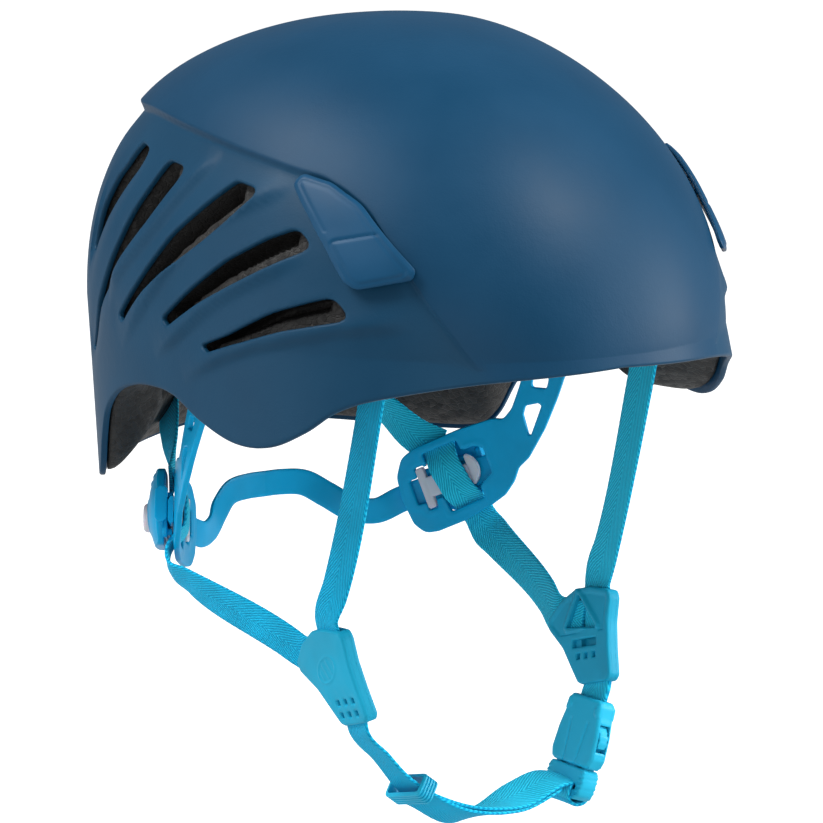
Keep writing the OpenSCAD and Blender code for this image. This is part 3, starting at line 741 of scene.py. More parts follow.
def shell_piece():
    psi = columns_round(0.8, 1.35)
    m = len(psi)
    end = rim_v(psi) - LIP / 100
    crease = np.minimum(v_at(psi, crease_z(psi)), end - 0.05)
    crown_rows, panel_rows = 42, 58
    above_step, below_step = crease - STEP_HALF, crease + STEP_HALF
    rows = [above_step - (above_step - 0.012) * (1 - t) for t in np.linspace(0, 1, crown_rows) ** 0.9]
    rows += [crease + STEP_HALF * t for t in (-0.55, -0.25, 0, 0.3, 0.65, 1)]
    rows += [below_step + (end - crease - STEP_HALF) * t for t in np.linspace(0, 1, panel_rows + 1)[1:]]
    v = np.array(rows)
    k = len(rows)
    params = np.stack([np.broadcast_to(psi, v.shape).ravel(), v.ravel()], -1)
    # the crown's one point
    params = np.concatenate([params, [[0, 1e-4]]])
    points = form(params[:, 0], params[:, 1], size(0))
    index = np.arange(k * m).reshape(k, m)
    a, b = index[:-1], np.roll(index, -1, axis=1)[:-1]
    c, d = np.roll(index, -1, axis=1)[1:], index[1:]
    quads = np.stack([a.ravel(), d.ravel(), c.ravel(), b.ravel()], -1)
    faces, cuts, border = clip_quads(vent_distance(params[:, 0], points[:, 2], points)[0] - LIP, quads)
    cuts = np.array(cuts)
    i, j, t = cuts[:, 0].astype(int), cuts[:, 1].astype(int), cuts[:, 2:]
    fresh = params[i] + (params[j] - params[i]) * t
    params = np.concatenate([params, fresh])
    points = form(params[:, 0], params[:, 1], size(0))
    relief, share = crown_relief(params[:, 0], params[:, 1], points)
    angle = np.abs(params[:, 0])
    flank = np.flatnonzero((angle > 24) & (angle < 128) & (points[:, 2] < 80))
    relief[flank] += crest_height(params[flank, 0], points[flank])
    first = len(params) - len(fresh)
    foot = vent_distance(params[first:, 0], points[first:, 2], points[first:])[1]
    known = np.concatenate([np.concatenate([line, line * [-1, 1]]) for line in VENT_LINES])
    which = nearest(tree_of(on_form(known)), foot)[1]
    feet = np.stack([known[which, 0], v_at(known[which, 0], known[which, 1])], -1)
    spread = {first + q: feet[q] for q in range(len(fresh))}
    last = index[-1]
    for q in range(m):
        spread[int(last[q])] = np.array([psi[q], rim_v(psi[q])])
    border = border + [(int(last[q]), int(last[(q + 1) % m])) for q in range(m)]
    faces += [[int(k * m), int(index[0][q]), int(index[0][(q + 1) % m])] for q in range(m)]
    ids = sorted({n for e in border for n in e})
    toward = np.array([spread[n] for n in ids])

    def place(par, height):
        return form(par[:, 0], par[:, 1], size(0)) + normals_of(par[:, 0], par[:, 1]) * height[:, None]

    shape, all_faces = two_sided(params, faces, border, toward, place, relief, relief - SHELL_T, LIP, 0.5)
    zone = np.concatenate([share, share, np.ones(len(shape) - 2 * len(share))])
    o = make("shell_skin", shape, all_faces, SHELL, "helmet", "shell", smooth=180, marks={"zone": zone})
    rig.replaces(o, "shell")


shell_piece()


# ------------------------------------------------------------------ webbing and fabric materials
# mm between the ribs along the webbing, and between its yarns
RIB_STEP, YARN_STEP = 2.3, 0.55


def webbing_material():
    """Woven polyester: a herringbone of fine ribs on each half, soft sheen, slow changes of tone, and painted light:
    the side that faces the head is painted paler.
    """
    m = material("webbing_herringbone", CYAN, 0.62, Sheen_Weight=0.05, Sheen_Roughness=0.4,
                 Specular_IOR_Level=0.06)
    uv = node(m, "ShaderNodeUVMap", uv_map="uv")
    split = node(m, "ShaderNodeSeparateXYZ", {"Vector": (uv, "UV")})
    where = node(m, "ShaderNodeTexCoord")
    off = node(m, "ShaderNodeMath", {0: (split, "X")}, operation="ABSOLUTE")
    rise = times(m, off, "Value", 2.1)
    wobble = node(m, "ShaderNodeTexNoise", {"Vector": (where, "Object")}, Scale=900.0, Detail=1.0)
    lean = node(m, "ShaderNodeMath", {0: (split, "Y"), 1: (rise, "Value")}, operation="SUBTRACT")
    shaken = node(m, "ShaderNodeMath", {0: (lean, "Value"), 1: (wobble, "Fac")}, operation="ADD")
    wave = times(m, shaken, "Value", 2 * math.pi / RIB_STEP)
    rib = node(m, "ShaderNodeMath", {0: (wave, "Value")}, operation="SINE")
    yarn_across = times(m, split, "X", 2 * math.pi / YARN_STEP)
    yarn = node(m, "ShaderNodeMath", {0: (yarn_across, "Value")}, operation="SINE")
    both_ribs = node(m, "ShaderNodeMath", {0: (yarn, "Value"), 1: (yarn, "Value"), 2: (rib, "Value")},
                     operation="MULTIPLY_ADD")
    slow = node(m, "ShaderNodeTexNoise", {"Vector": (where, "Object")}, Scale=60.0, Detail=3.0)
    share = node(m, "ShaderNodeMapRange", {"Value": (rib, "Value")}, **{
        "From__Min": -1.0, "From__Max": 1.0, "To__Min": 0.0, "To__Max": 1.0})
    tone = ramp(m, share, "Result", [(0.1, WEB_DARK), (0.8, WEB_PALE)])
    shade = node(m, "ShaderNodeMapRange", {"Value": (slow, "Fac")}, **{
        "From__Min": 0.3, "From__Max": 0.7, "To__Min": 0.88, "To__Max": 1.08})
    hue = node(m, "ShaderNodeHueSaturation", {"Color": (tone, "Color"), "Value": (shade, "Result")})
    # painted light: the side that faces the head takes paler, greyer copies of the webbing colours, which stand in for
    # sheen and brighter light on the far straps
    inner = node(m, "ShaderNodeAttribute", attribute_name="inner")
    painted_light_tone = ramp(m, share, "Result", [(0.1, WEB_PAINTED_LIGHT_DARK), (0.8, WEB_PAINTED_LIGHT_PALE)])
    sides = node(m, "ShaderNodeMix", data_type="RGBA")
    sockets = {i.identifier: i for i in sides.inputs}
    for source, key, target in ((inner, "Fac", "Factor_Float"), (hue, "Color", "A_Color"),
                                (painted_light_tone, "Color", "B_Color")):
        m.node_tree.links.new(source.outputs[key], sockets[target])
    plug(m, sides, 2, "Base Color")
    bump = node(m, "ShaderNodeBump", {"Height": (both_ribs, "Value")}, Distance=0.00012, Strength=0.8)
    fibre = node(m, "ShaderNodeTexNoise", {"Vector": (where, "Object")}, Scale=3500.0, Detail=2.0)
    fuzz = node(m, "ShaderNodeBump", {"Height": (fibre, "Fac"), "Normal": (bump, "Normal")},
                Distance=0.00005, Strength=0.6)
    plug(m, fuzz, "Normal", "Normal")
    return m


def knit_material():
    """Brushed knit over the comfort pads: small offset loops and a dark fleece tone."""
    m = material("pad_knit", (0.012, 0.012, 0.014), 0.9, Sheen_Weight=0.4, Sheen_Roughness=0.6)
    where = node(m, "ShaderNodeTexCoord")
    loops = node(m, "ShaderNodeTexVoronoi", {"Vector": (where, "Object")}, Scale=700.0, Randomness=0.35)
    slow = node(m, "ShaderNodeTexNoise", {"Vector": (where, "Object")}, Scale=90.0, Detail=4.0)
    tone = ramp(m, slow, "Fac", [(0.35, (0.008, 0.008, 0.009)), (0.7, (0.022, 0.022, 0.025))])
    plug(m, tone, "Color", "Base Color")
    bump = node(m, "ShaderNodeBump", {"Height": (loops, "Distance")}, Distance=0.0004, Strength=0.6)
    grain(m, 2600.0, 0.00006, bump)
    return m


WEB_DARK, WEB_PALE = (0.0, 0.31, 0.6), (0.01, 0.56, 0.88)
# painted light: paler copies of the webbing colours, for the side that faces the head
WEB_PAINTED_LIGHT_DARK, WEB_PAINTED_LIGHT_PALE = (0.004, 0.38, 0.64), (0.03, 0.7, 0.95)
WEBBING = webbing_material()
KNIT = knit_material()


# ------------------------------------------------------------------ slabs and ribbons
SIDES = (("right", -1), ("left", 1))


def turn(axis, degrees):
    return np.array(Matrix.Rotation(math.radians(degrees), 3, axis))


def frame_at(origin, rotation, bend=None):
    """place(xy, height) in a flat frame, or one whose surface falls away by bend(x)."""
    origin = np.array(origin, float)

    def place(xy, height):
        xy = np.asarray(xy, float)
        fall = bend(xy[:, 0]) if bend else 0
        height = np.broadcast_to(np.asarray(height, float), len(xy)) - fall
        return origin + np.stack([xy[:, 0], xy[:, 1], height], -1) @ rotation.T
    return place


def at(place, x, y, height=0.0):
    return place(np.array([[x, y]], float), height)[0]


def to_loops(loops, xy):
    """Signed distance to the union of closed loops, positive inside, and the nearest edge point."""
    best, foot = np.full(len(xy), -1e9), xy.copy()
    rows = np.arange(len(xy))
    for loop in loops:
        a = np.asarray(loop, float)
        d = np.roll(a, -1, axis=0) - a
        t = np.clip(((xy[:, None] - a) * d).sum(-1) / np.maximum((d * d).sum(-1), 1e-9), 0, 1)
        spots = a + d * t[..., None]
        gap = np.linalg.norm(xy[:, None] - spots, axis=-1)
        k = gap.argmin(1)
        dist = np.where(inside(a, xy[:, 0], xy[:, 1]), gap[rows, k], -gap[rows, k])
        better = dist > best
        best[better], foot[better] = dist[better], spots[rows, k][better]
    return best, foot


def solid_distance(outer, holes, xy):
    d, foot = to_loops(outer, xy)
    if holes:
        hole, hole_foot = to_loops(holes, xy)
        use = -hole < d
        d, foot = np.where(use, -hole, d), np.where(use[:, None], hole_foot, foot)
    return d, foot


def slab(outer, holes, place, top, low, edge=0.6, low_edge=None, step=0.8, steps=3):
    """A plate with rounded edges. outer and holes are closed loops; top and low are heights, or
    functions of the points and of their distances from the edge."""
    low_edge = edge if low_edge is None else low_edge
    every = np.concatenate(outer)
    xs, ys = [np.arange(every[:, k].min() - 1, every[:, k].max() + 1.5, step) for k in (0, 1)]
    xy = np.stack(np.meshgrid(xs, ys, indexing="ij"), -1).reshape(-1, 2)
    index = np.arange(len(xy)).reshape(len(xs), len(ys))
    quads = np.stack([index[:-1, :-1], index[1:, :-1], index[1:, 1:], index[:-1, 1:]], -1).reshape(-1, 4)
    faces, cuts, border = clip_quads(solid_distance(outer, holes, xy)[0] - max(edge, low_edge), quads)
    cuts = np.array(cuts)
    i, j, t = cuts[:, 0].astype(int), cuts[:, 1].astype(int), cuts[:, 2:]
    xy = np.concatenate([xy, xy[i] + (xy[j] - xy[i]) * t])
    d, foot = solid_distance(outer, holes, xy)
    ids = sorted({n for e in border for n in e})
    heights = [h(xy, d) if callable(h) else np.full(len(xy), float(h)) for h in (top, low)]
    return two_sided(xy, faces, border, foot[ids], place, *heights, edge, low_edge, steps)


def joined(*parts):
    points, faces, n = [], [], 0
    for p, f in parts:
        points.append(p)
        faces += [[i + n for i in face] for face in f]
        n += len(p)
    return np.concatenate(points), faces


def facing(faces, sign):
    """The faces as they are for sign 1, and turned over for the mirror image."""
    return faces if sign > 0 else [face[::-1] for face in faces]


def both(name, shape, mat, body, slot, cad, smooth=40):
    """The left piece and its mirror image on the right. body and cad may hold {} for the side."""
    points, faces = shape
    for side, sign in SIDES:
        o = make(f"{name}_{side}", points * [sign, 1, 1], facing(faces, sign), mat, body.format(side),
                 slot, smooth=smooth)
        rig.replaces(o, cad.format(side))


def tube_faces(rings, count):
    """Faces round a stack of rings of count points, with both ends closed."""
    faces = [[j * count + i, j * count + (i + 1) % count, (j + 1) * count + (i + 1) % count,
              (j + 1) * count + i] for j in range(rings - 1) for i in range(count)]
    return faces + [list(range(count))[::-1], [(rings - 1) * count + i for i in range(count)]]


def disc(x, y, r, count=40):
    a = np.arange(count) * 2 * math.pi / count
    return np.stack([x + r * np.cos(a), y + r * np.sin(a)], -1)


def lathe(profile, place, spot, count=48):
    """A turned shape from [radius, height] points, from the outer foot to the middle of the top."""
    points = [place(disc(*spot, r, count), h) for r, h in profile]
    return np.concatenate(points), tube_faces(len(profile), count)


def even_line(points, gap):
    """A smooth line through points of any dimension, at even steps of its first three."""
    p = np.asarray(points, float)
    h = np.linalg.norm(np.diff(p[:, :3], axis=0), axis=1)[:, None]
    slope = np.diff(p, axis=0) / h
    inner = (slope[:-1] * h[1:] + slope[1:] * h[:-1]) / (h[:-1] + h[1:])
    m = np.concatenate([slope[:1], inner, slope[-1:]])
    fine = []
    for i in range(len(h)):
        t = np.arange(24)[:, None] / 24
        fine.append((1 + 2 * t) * (1 - t) ** 2 * p[i] + t * (1 - t) ** 2 * h[i] * m[i]
                    + t * t * (3 - 2 * t) * p[i + 1] + t * t * (t - 1) * h[i] * m[i + 1])
    fine = np.concatenate(fine + [p[-1:]])
    run = np.concatenate([[0], np.cumsum(np.linalg.norm(np.diff(fine[:, :3], axis=0), axis=1))])
    count = max(4, int(run[-1] / gap))
    s = np.linspace(0, run[-1], count + 1)
    return s, np.stack([np.interp(s, run, fine[:, k]) for k in range(fine.shape[1])], -1)


# the middle of the head, in mm
HEAD = np.array([0, 20, -80])
WEB_WIDTH = 15.0


def band(route, width, thick, gap=1.1, crown=0.0, across_steps=10, relief=None, waver=0.0, part=None):
    """A flat band with rounded edges along a route of [centre, direction of its width]. width may be
    a function of the share of its length. relief(run, u) adds height on its upper side. part keeps
    the stretch between the points of the route that are nearest to two places. Returns
    points, faces, uv (in mm: across from the middle, and along), the length, and how far each
    point is on the side that faces the head, from 0 to 1."""
    route = np.array([np.concatenate([np.asarray(c, float), unit(w)]) for c, w in route])
    s, line = even_line(route, gap)
    centre, across = line[:, :3], line[:, 3:]
    along = unit(np.gradient(centre, axis=0))
    w = unit(across - along * (across * along).sum(-1, keepdims=True))
    up = np.cross(along, w)
    wide = np.array([width(x) for x in s / s[-1]]) if callable(width) else np.full(len(s), float(width))
    half, r = wide[:, None] / 2, thick / 2
    arc = np.radians(np.linspace(90, -90, 5))[1:-1]
    flat = np.linspace(-1, 1, across_steps + 1)
    section = [(x, 0, 1) for x in flat] + [(1, math.cos(a), math.sin(a)) for a in arc]
    section += [(x, 0, -1) for x in flat[::-1]] + [(-1, math.cos(a), -math.sin(a)) for a in arc]
    x, bulge, high = np.array(section).T
    lateral = x * (half - r) + np.sign(x) * bulge * r
    if waver:
        lateral = lateral + waver * np.sin(s[:, None] * 1.9 + 2 * x) * np.abs(x) ** 6
    height = high * r + crown * (1 - x ** 2)
    if relief:
        height = height + (high > 0.5) * relief(s[:, None], lateral)
    points = centre[:, None] + w[:, None] * lateral[..., None] + up[:, None] * height[..., None]
    # which side faces the head; the webbing material paints that side paler, as painted light
    outward = ((centre - HEAD) * up).sum(-1)[:, None]
    towards_head = np.broadcast_to(np.where(outward > 0, high < -0.5, high > 0.5), lateral.shape)
    if part is not None:
        ends = [int(np.linalg.norm(centre - np.asarray(p), axis=1).argmin()) for p in part]
        keep = slice(ends[0], ends[1] + 1)
        points, lateral, s, towards_head = points[keep], lateral[keep], s[keep], towards_head[keep]
    uv = np.stack([lateral, np.broadcast_to(s[:, None], lateral.shape)], -1).reshape(-1, 2)
    return (points.reshape(-1, 3), tube_faces(len(s), len(x)), uv, s[-1] - s[0],
            towards_head.ravel().astype(float))


def face_out(points, faces):
    """The faces turned over if they all point inward."""
    total = 0.0
    for f in faces:
        a = points[f[0]]
        for i in range(1, len(f) - 1):
            total += a @ np.cross(points[f[i]], points[f[i + 1]])
    return faces if total > 0 else [f[::-1] for f in faces]


def strap(name, route, body, cad, sides=SIDES, width=WEB_WIDTH, thick=1.4, hold="hung", rests=(),
          blend=None, **more):
    """Webbing on each of the sides, declared as a sheet. It rides with a body, or blends between two:
    blend is (body, body, start, end), with the places in mm on the left."""
    points, faces, uv, length, inner = band(route, width, thick, crown=0.12, waver=0.05, **more)
    faces = face_out(points, faces)
    for side, sign in sides:
        label = f"{name}_{side}" if side else name
        # the inner mark picks the side that faces the head, which the webbing material paints paler as painted light
        o = make(label, points * [sign, 1, 1], facing(faces, sign), WEBBING, None if blend else body,
                 "webbing", smooth=50, uv=uv, marks={"inner": inner})
        if blend:
            a, b, start, end = blend
            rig.blend(o, a, b, *[tuple(np.array(p) * [sign, 1, 1] * MM) for p in (start, end)])
        if cad:
            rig.replaces(o, cad.format(side))
        wide = (WEB_WIDTH if callable(width) else width) * MM
        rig.sheet(o, flat=(wide, round(length * MM, 3)), held=hold,
                 rests_on=[shown(r.format(side)) for r in rests])
        print(label, "flat size in mm:", round(wide * 1000, 1), round(length))


# ------------------------------------------------------------------ foam liners
LINER_DEPTH = SHELL_T + 0.7
# where the crown's block meets the side foam
SPLIT_V = 0.62
# depth of the cavity below the form at the side, front, rear and top
CAVITY = (19.0, 42.0, 21.0, 23.0)


def vent_share(psi, z):
    """0 at the front edge of the nearest vent, 1 at its rear edge."""
    flat = np.stack([folded(psi) * MM_PER_DEGREE, z], -1)
    gaps = []
    for line in VENT_LINES:
        flat_line = line * [MM_PER_DEGREE, 1]
        top, tip = line[:, 1].argmax(), line[:, 1].argmin()
        rear = np.roll(flat_line, -top, axis=0)[:(tip - top) % len(line) + 1]
        front = np.roll(flat_line, -tip, axis=0)[:(top - tip) % len(line) + 1]
        gaps.append([np.sqrt(((flat[:, None] - chain[::2]) ** 2).sum(-1).min(1))
                     for chain in (front, rear)])
    gaps = np.array(gaps)
    best = gaps.min(1).argmin(0)
    rows = np.arange(len(psi))
    front, rear = gaps[best, 0, rows], gaps[best, 1, rows]
    return front / np.maximum(front + rear, 1e-6)


def channel_depth(psi, v):
    """Depth of the air channels under the vents: a shelf along the front edge, deep at the rear edge."""
    points = form(psi, v, size(0))
    near = np.flatnonzero((points[:, 2] < 72) & (points[:, 2] > -30))
    d = vent_distance(psi[near], points[near, 2], points[near])[0]
    depth = np.zeros(len(psi))
    close = d < 4
    rows = near[close]
    share = vent_share(psi[rows], points[rows, 2])
    depth[rows] = (1.0 + 12.5 * ease((share - 0.46) / 0.16)) * ease(1 - d[close] / 3)
    return depth


def groove(psi):
    """Soft air grooves on the inside of the foam."""
    return sum(np.exp(-((folded(psi) - c) / 5.0) ** 2) for c in (14, 44, 76, 106, 138, 166))


def rings(blocks, closed):
    """Faces round a stack of rings; closed joins the last ring to the first, or else both ends close
    on a point."""
    k, m = blocks.shape[:2]
    index = np.arange(k * m).reshape(k, m)
    pairs = [(j, (j + 1) % k) for j in range(k if closed else k - 1)]
    faces = []
    for a, b in pairs:
        ra, rb = index[a], index[b]
        faces += np.stack([ra, rb, np.roll(rb, -1), np.roll(ra, -1)], -1).tolist()
    points = blocks.reshape(-1, 3)
    if not closed:
        points = np.concatenate([points, blocks[0].mean(0)[None], blocks[-1].mean(0)[None]])
        first, last = index[0], index[-1]
        faces += [[k * m, int(first[i]), int(first[(i + 1) % m])] for i in range(m)]
        faces += [[k * m + 1, int(last[(i + 1) % m]), int(last[i])] for i in range(m)]
    return points, faces


def liner(name, psi, starts, ends, outer_rows, inner_rows, thin, swell, closed, bevel):
    """Foam between the shell and the cavity, from v = starts down to v = ends, with its lower face
    rising by bevel, in mm, towards the inside."""
    cavity = np.array(CAVITY)

    def inner_size(share, v):
        cut = thin * np.clip((v - 1) / 0.5, 0, 1) - 1.1 * groove(psi) * ease((v - 0.3) / 0.25)
        inner = [c - cut for c in cavity]
        skin = [LINER_DEPTH] * 4
        return size(*[s + (i - s) * share for s, i in zip(skin, inner)])

    blocks = []
    for t in np.linspace(0, 1, outer_rows):
        v = starts + (ends - starts) * t
        depth = channel_depth(psi, v)
        blocks.append(form(psi, v, size(LINER_DEPTH + depth)))
    for share in np.linspace(0.04, 0.96, 12):
        over = swell * (1 - abs(2 * share - 1) ** 5) / 100
        v = ends + over - bevel * share ** 1.3 / 100
        blocks.append(form(psi, v, inner_size(share, v)))
    for t in np.linspace(1, 0, inner_rows):
        v = starts + (ends - bevel / 100 - starts) * t
        blocks.append(form(psi, v, inner_size(1.0, v)))
    points, faces = rings(np.array(blocks), closed)
    return make(name, points, face_out(points, faces), FOAM if closed else CROWN_FOAM, "helmet",
                "side_foam" if closed else "crown_foam", smooth=180)


rear_bevel = side_curve([[0, 3], [60, 4], [95, 4], [108, 9], [118, 20], [128, 27], [150, 24], [180, 22]])


def liners():
    psi = columns_round(0.6, 1.6)
    o = liner("side_foam", psi, np.full(len(psi), SPLIT_V), rim_v(psi) - 0.024, 120, 48, -6.0, 1.6, True,
              rear_bevel(psi))
    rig.replaces(o, "side_liner")
    psi = np.arange(0, 360, 2.0)
    o = liner("crown_foam", psi, np.full(len(psi), 0.012), np.full(len(psi), SPLIT_V - 0.016), 40, 30,
              0.0, 0.8, False, np.zeros(len(psi)))
    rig.replaces(o, "crown_liner")


liners()


# ------------------------------------------------------------------ headlamp clips
CLIP_GAP, CLIP_T = 1.6, 2.2
# outlines on the shell: [angle from the front, height, corner radius in mm]
CLIP_OUTLINE = [[53.7, 56.2, 3], [51.7, 59.8, 3.5], [45, 57.4, 9], [39, 51.2, 12], [30, 30.6, 3],
                [30.6, 27.4, 2], [39.3, 23.2, 3], [41.4, 25.6, 3], [45.4, 37.2, 6], [49.2, 46.4, 6]]
CLIP_TAB = [[31.6, 30.0, 1.6], [32.2, 28.4, 1.6], [38.9, 25.0, 1.8], [40.4, 26.8, 1.8], [44.2, 38.2, 1.2],
            [36.4, 41.6, 1.2]]
CLIP_ROOT = [[48.5, 48], [44.5, 38], [42.5, 40], [38.5, 45], [43.5, 53], [48.5, 56], [51.5, 55]]


def metric(corners):
    """A rounded outline on the shell, in mm, from [angle, height] corners."""
    return rounded([[c[0] * MM_PER_DEGREE, *c[1:]] for c in corners], 1.5)


def on_shell(xy, height):
    psi = xy[:, 0] / MM_PER_DEGREE
    return form(psi, v_at(psi, xy[:, 1]), size(-np.asarray(height, float)))


def clips():
    outline, tab = metric(CLIP_OUTLINE), metric(CLIP_TAB)

    def lift(xy):
        return 0.9 * ease((44 - xy[:, 1]) / 18)

    def top(xy, d):
        bevel = 0.75 * (1 - ease(d / 1.9))
        rim = 0.3 * np.exp(-((d - 2.3) / 0.5) ** 2)
        inside_tab = to_loops([tab], xy)[0]
        line = 0.4 * np.exp(-(inside_tab / 0.5) ** 2)
        return CLIP_GAP + CLIP_T + lift(xy) - bevel - rim * (xy[:, 1] > 41) - line

    def low(xy, d):
        return CLIP_GAP + lift(xy)

    plate = slab([outline], [], on_shell, top, low, 0.55, 0.4, step=0.5)
    root = slab([metric(CLIP_ROOT)], [], on_shell, CLIP_GAP + 0.8, 0.0, 0.3, step=1.2)
    both("clip", joined(plate, root), CLIP, "helmet", "clip", "clip_{}")


clips()


# ------------------------------------------------------------------ comfort pads
def pads():
    dims = np.array(CAVITY)

    def on_cavity(xy, height):
        return form(xy[:, 0] / 1.9, xy[:, 1] / 165, size(*[c - np.asarray(height) for c in dims]))

    def crowned(full, seams):
        def top(xy, d):
            puff = 1 - np.exp(-np.maximum(d, 0) / 4.0)
            channel = sum(np.exp(-((xy[:, 0] - x) / 1.6) ** 2) for x in seams)
            quilt = 0.25 * np.sin(xy[:, 0] * 0.9) * np.sin(xy[:, 1] * 0.8)
            return 1.6 + (full - 1.6) * puff * (1 - 0.55 * channel) + quilt * puff
        return top

    def pad(name, cad, shape):
        points, faces = shape
        o = make(name, points, face_out(points, faces), KNIT, "helmet", "pad", smooth=180)
        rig.replaces(o, cad)
        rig.padded(o, fill=0.6)

    brow = rounded([[-60, 126], [60, 126], [60, 159], [20, 157], [0, 154], [-20, 157], [-60, 159]], 9)
    pad("brow_pad", "front_pad",
        slab([brow], [], on_cavity, crowned(5.2, (-38, -14, 14, 38)), 0.4, 1.6, 0.5, step=1.2))

    def on_dome(xy, height):
        x, y = xy[:, 0], xy[:, 1]
        psi = np.degrees(np.arctan2(x, -y))
        plan = form(psi, 1.0, size(*dims))
        share = np.hypot(x, y) / np.maximum(np.hypot(plan[:, 0], plan[:, 1]), 1)
        v = np.degrees(np.arcsin(np.clip(share ** (1 / lean_power(psi)), 0, 1))) / 90
        return form(psi, np.maximum(v, 1e-4), size(*[c - np.asarray(height) for c in dims]))

    strip = rounded([[-20, -53], [20, -53], [20, 53], [-20, 53]], 8)
    puffed = crowned(4.8, ())

    def top(xy, d):
        channel = sum(np.exp(-((xy[:, 1] - y) / 1.6) ** 2) for y in (-32, -10, 12, 34))
        return 1.6 + (puffed(xy, d) - 1.6) * (1 - 0.55 * channel)

    pad("crown_pad_soft", "crown_pad", slab([strip], [], on_dome, top, 0.5, 1.6, 0.5, step=1.2))


pads()


# ------------------------------------------------------------------ headband
PLATE_TURN = turn("Z", 125) @ turn("X", 90) @ turn("Z", -22)


def plate_fall(x):
    """How far the plate bends in towards the head: tighter in front of the adjuster than behind."""
    r = np.where(x > 0, 60.0, 160.0)
    return r - np.sqrt(np.maximum(r * r - x * x, 1))


on_plate = frame_at([63, 50, -82], PLATE_TURN, plate_fall)
flat_plate = frame_at([63, 50, -82], PLATE_TURN)


def plate_point(x, y, z):
    return at(on_plate, x, y, z)


def plate_way(x, y):
    return PLATE_TURN @ np.array([x, y, 0.0])


PLATE_OUTLINE = [[-78, 33, 8], [-64, 22, 10], [-57, 15, 10], [-46, 5, 12], [-34, -4, 6], [-28, -6.5, 4],
                 [-24, -11, 8], [-18, -15, 8], [-11, -17, 8], [2, -19.5, 8], [14, -20, 6], [19, -19, 5],
                 [22, -14, 6], [23, -3, 10], [22, 6, 8], [18, 12.5, 6], [12, 14.5, 6], [-8, 15.8, 8],
                 [-25, 15.5, 5], [-29, 13.8, 4], [-34.5, 16.7, 8], [-41, 23.4, 12], [-56, 40, 12],
                 [-60, 48, 6], [-68, 52, 8], [-77, 49, 8], [-81, 41, 8]]
ARM_HOLES = [[[-41, 16, 2], [-47.5, 15.3, 1.2], [-48.3, 14, 0.6], [-39, 4.6, 0.8], [-37.7, 4.6, 0.6],
              [-38.6, 13, 1.5]],
             [[-50, 26.5], [-57, 24], [-53.6, 19.8], [-46.8, 22.2]],
             [[-56.5, 34], [-65, 31], [-61, 27.5], [-53.5, 30]]]
WEB_WINDOW = [[9.8, 11.2], [-6, 12], [-9.6, -13], [6.4, -14.4]]
LOCK_WINDOW = [[-16, 5.5], [-12.7, 7.6], [4, 7.2], [4, 2.8], [18, 2.8], [18, -7.4], [-9.5, -8], [-16, -4.5]]
T_SLOT = [[10.7, 6.9], [14.5, 6.9], [14.5, -10.9], [10.7, -10.9]]


def side_plates():
    windows = [rounded(WEB_WINDOW, 1), rounded(LOCK_WINDOW, 1), rounded(T_SLOT, 0.8)]
    holes = windows + [rounded(h, 1.4) for h in ARM_HOLES] + [disc(-69, 41, 2.2)]

    def frame_rim(xy, d):
        to_window = -to_loops(windows, xy)[0]
        return 0.35 * np.exp(-((to_window - 1.6) / 0.9) ** 2)

    def top(xy, d):
        return 2.3 + frame_rim(xy, d)

    def low(xy, d):
        return 0.0 - 0.6 * frame_rim(xy, d)

    shape = slab([rounded(PLATE_OUTLINE, 6, 8)], holes, on_plate, top, low, 0.55, 0.55, step=0.75)
    both("side_plate", shape, PLATE, "headband", "headband", "side_plate_{}")


side_plates()


def nape_band():
    """Two halves; each end follows its adjuster, as the band runs through it."""
    left = [(plate_point(*p), plate_way(0, 1)) for p in
            ([-15, -2.7, 3.6], [-4, -2.7, 3.6], [10, -2.8, 3.7], [25, -3, 3.9])]
    left += [((40.5, 71.5, -98.3), (0.05, -0.05, 1)), ((33, 77, -97.5), (0.25, -0.1, 1)),
             ((25, 84, -92), (0.65, -0.15, 0.8)), ((17, 88.5, -87), (0.3, -0.05, 1)),
             ((8, 90.5, -86), (0, 0, 1)), ((0, 91, -86), (0, 0, 1))]

    def teeth(run, across):
        tooth = 0.55 * ease((np.sin(run * 2 * math.pi / 1.9) + 0.4) / 0.6)
        return tooth * (np.abs(across) < 4.2) * (run < 34)

    points, faces, *_ = band(left, 10.5, 1.6, gap=0.45, relief=teeth)
    faces = face_out(points, faces)
    for side, sign in SIDES:
        o = make(f"nape_band_{side}", points * [sign, 1, 1], facing(faces, sign), PLATE, None,
                 "headband", smooth=40)
        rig.blend(o, "headband", f"adjuster_{side}", (0.002 * sign, 0.091, -0.086),
                 (0.040 * sign, 0.0715, -0.0983))
        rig.replaces(o, "nape_band")


nape_band()


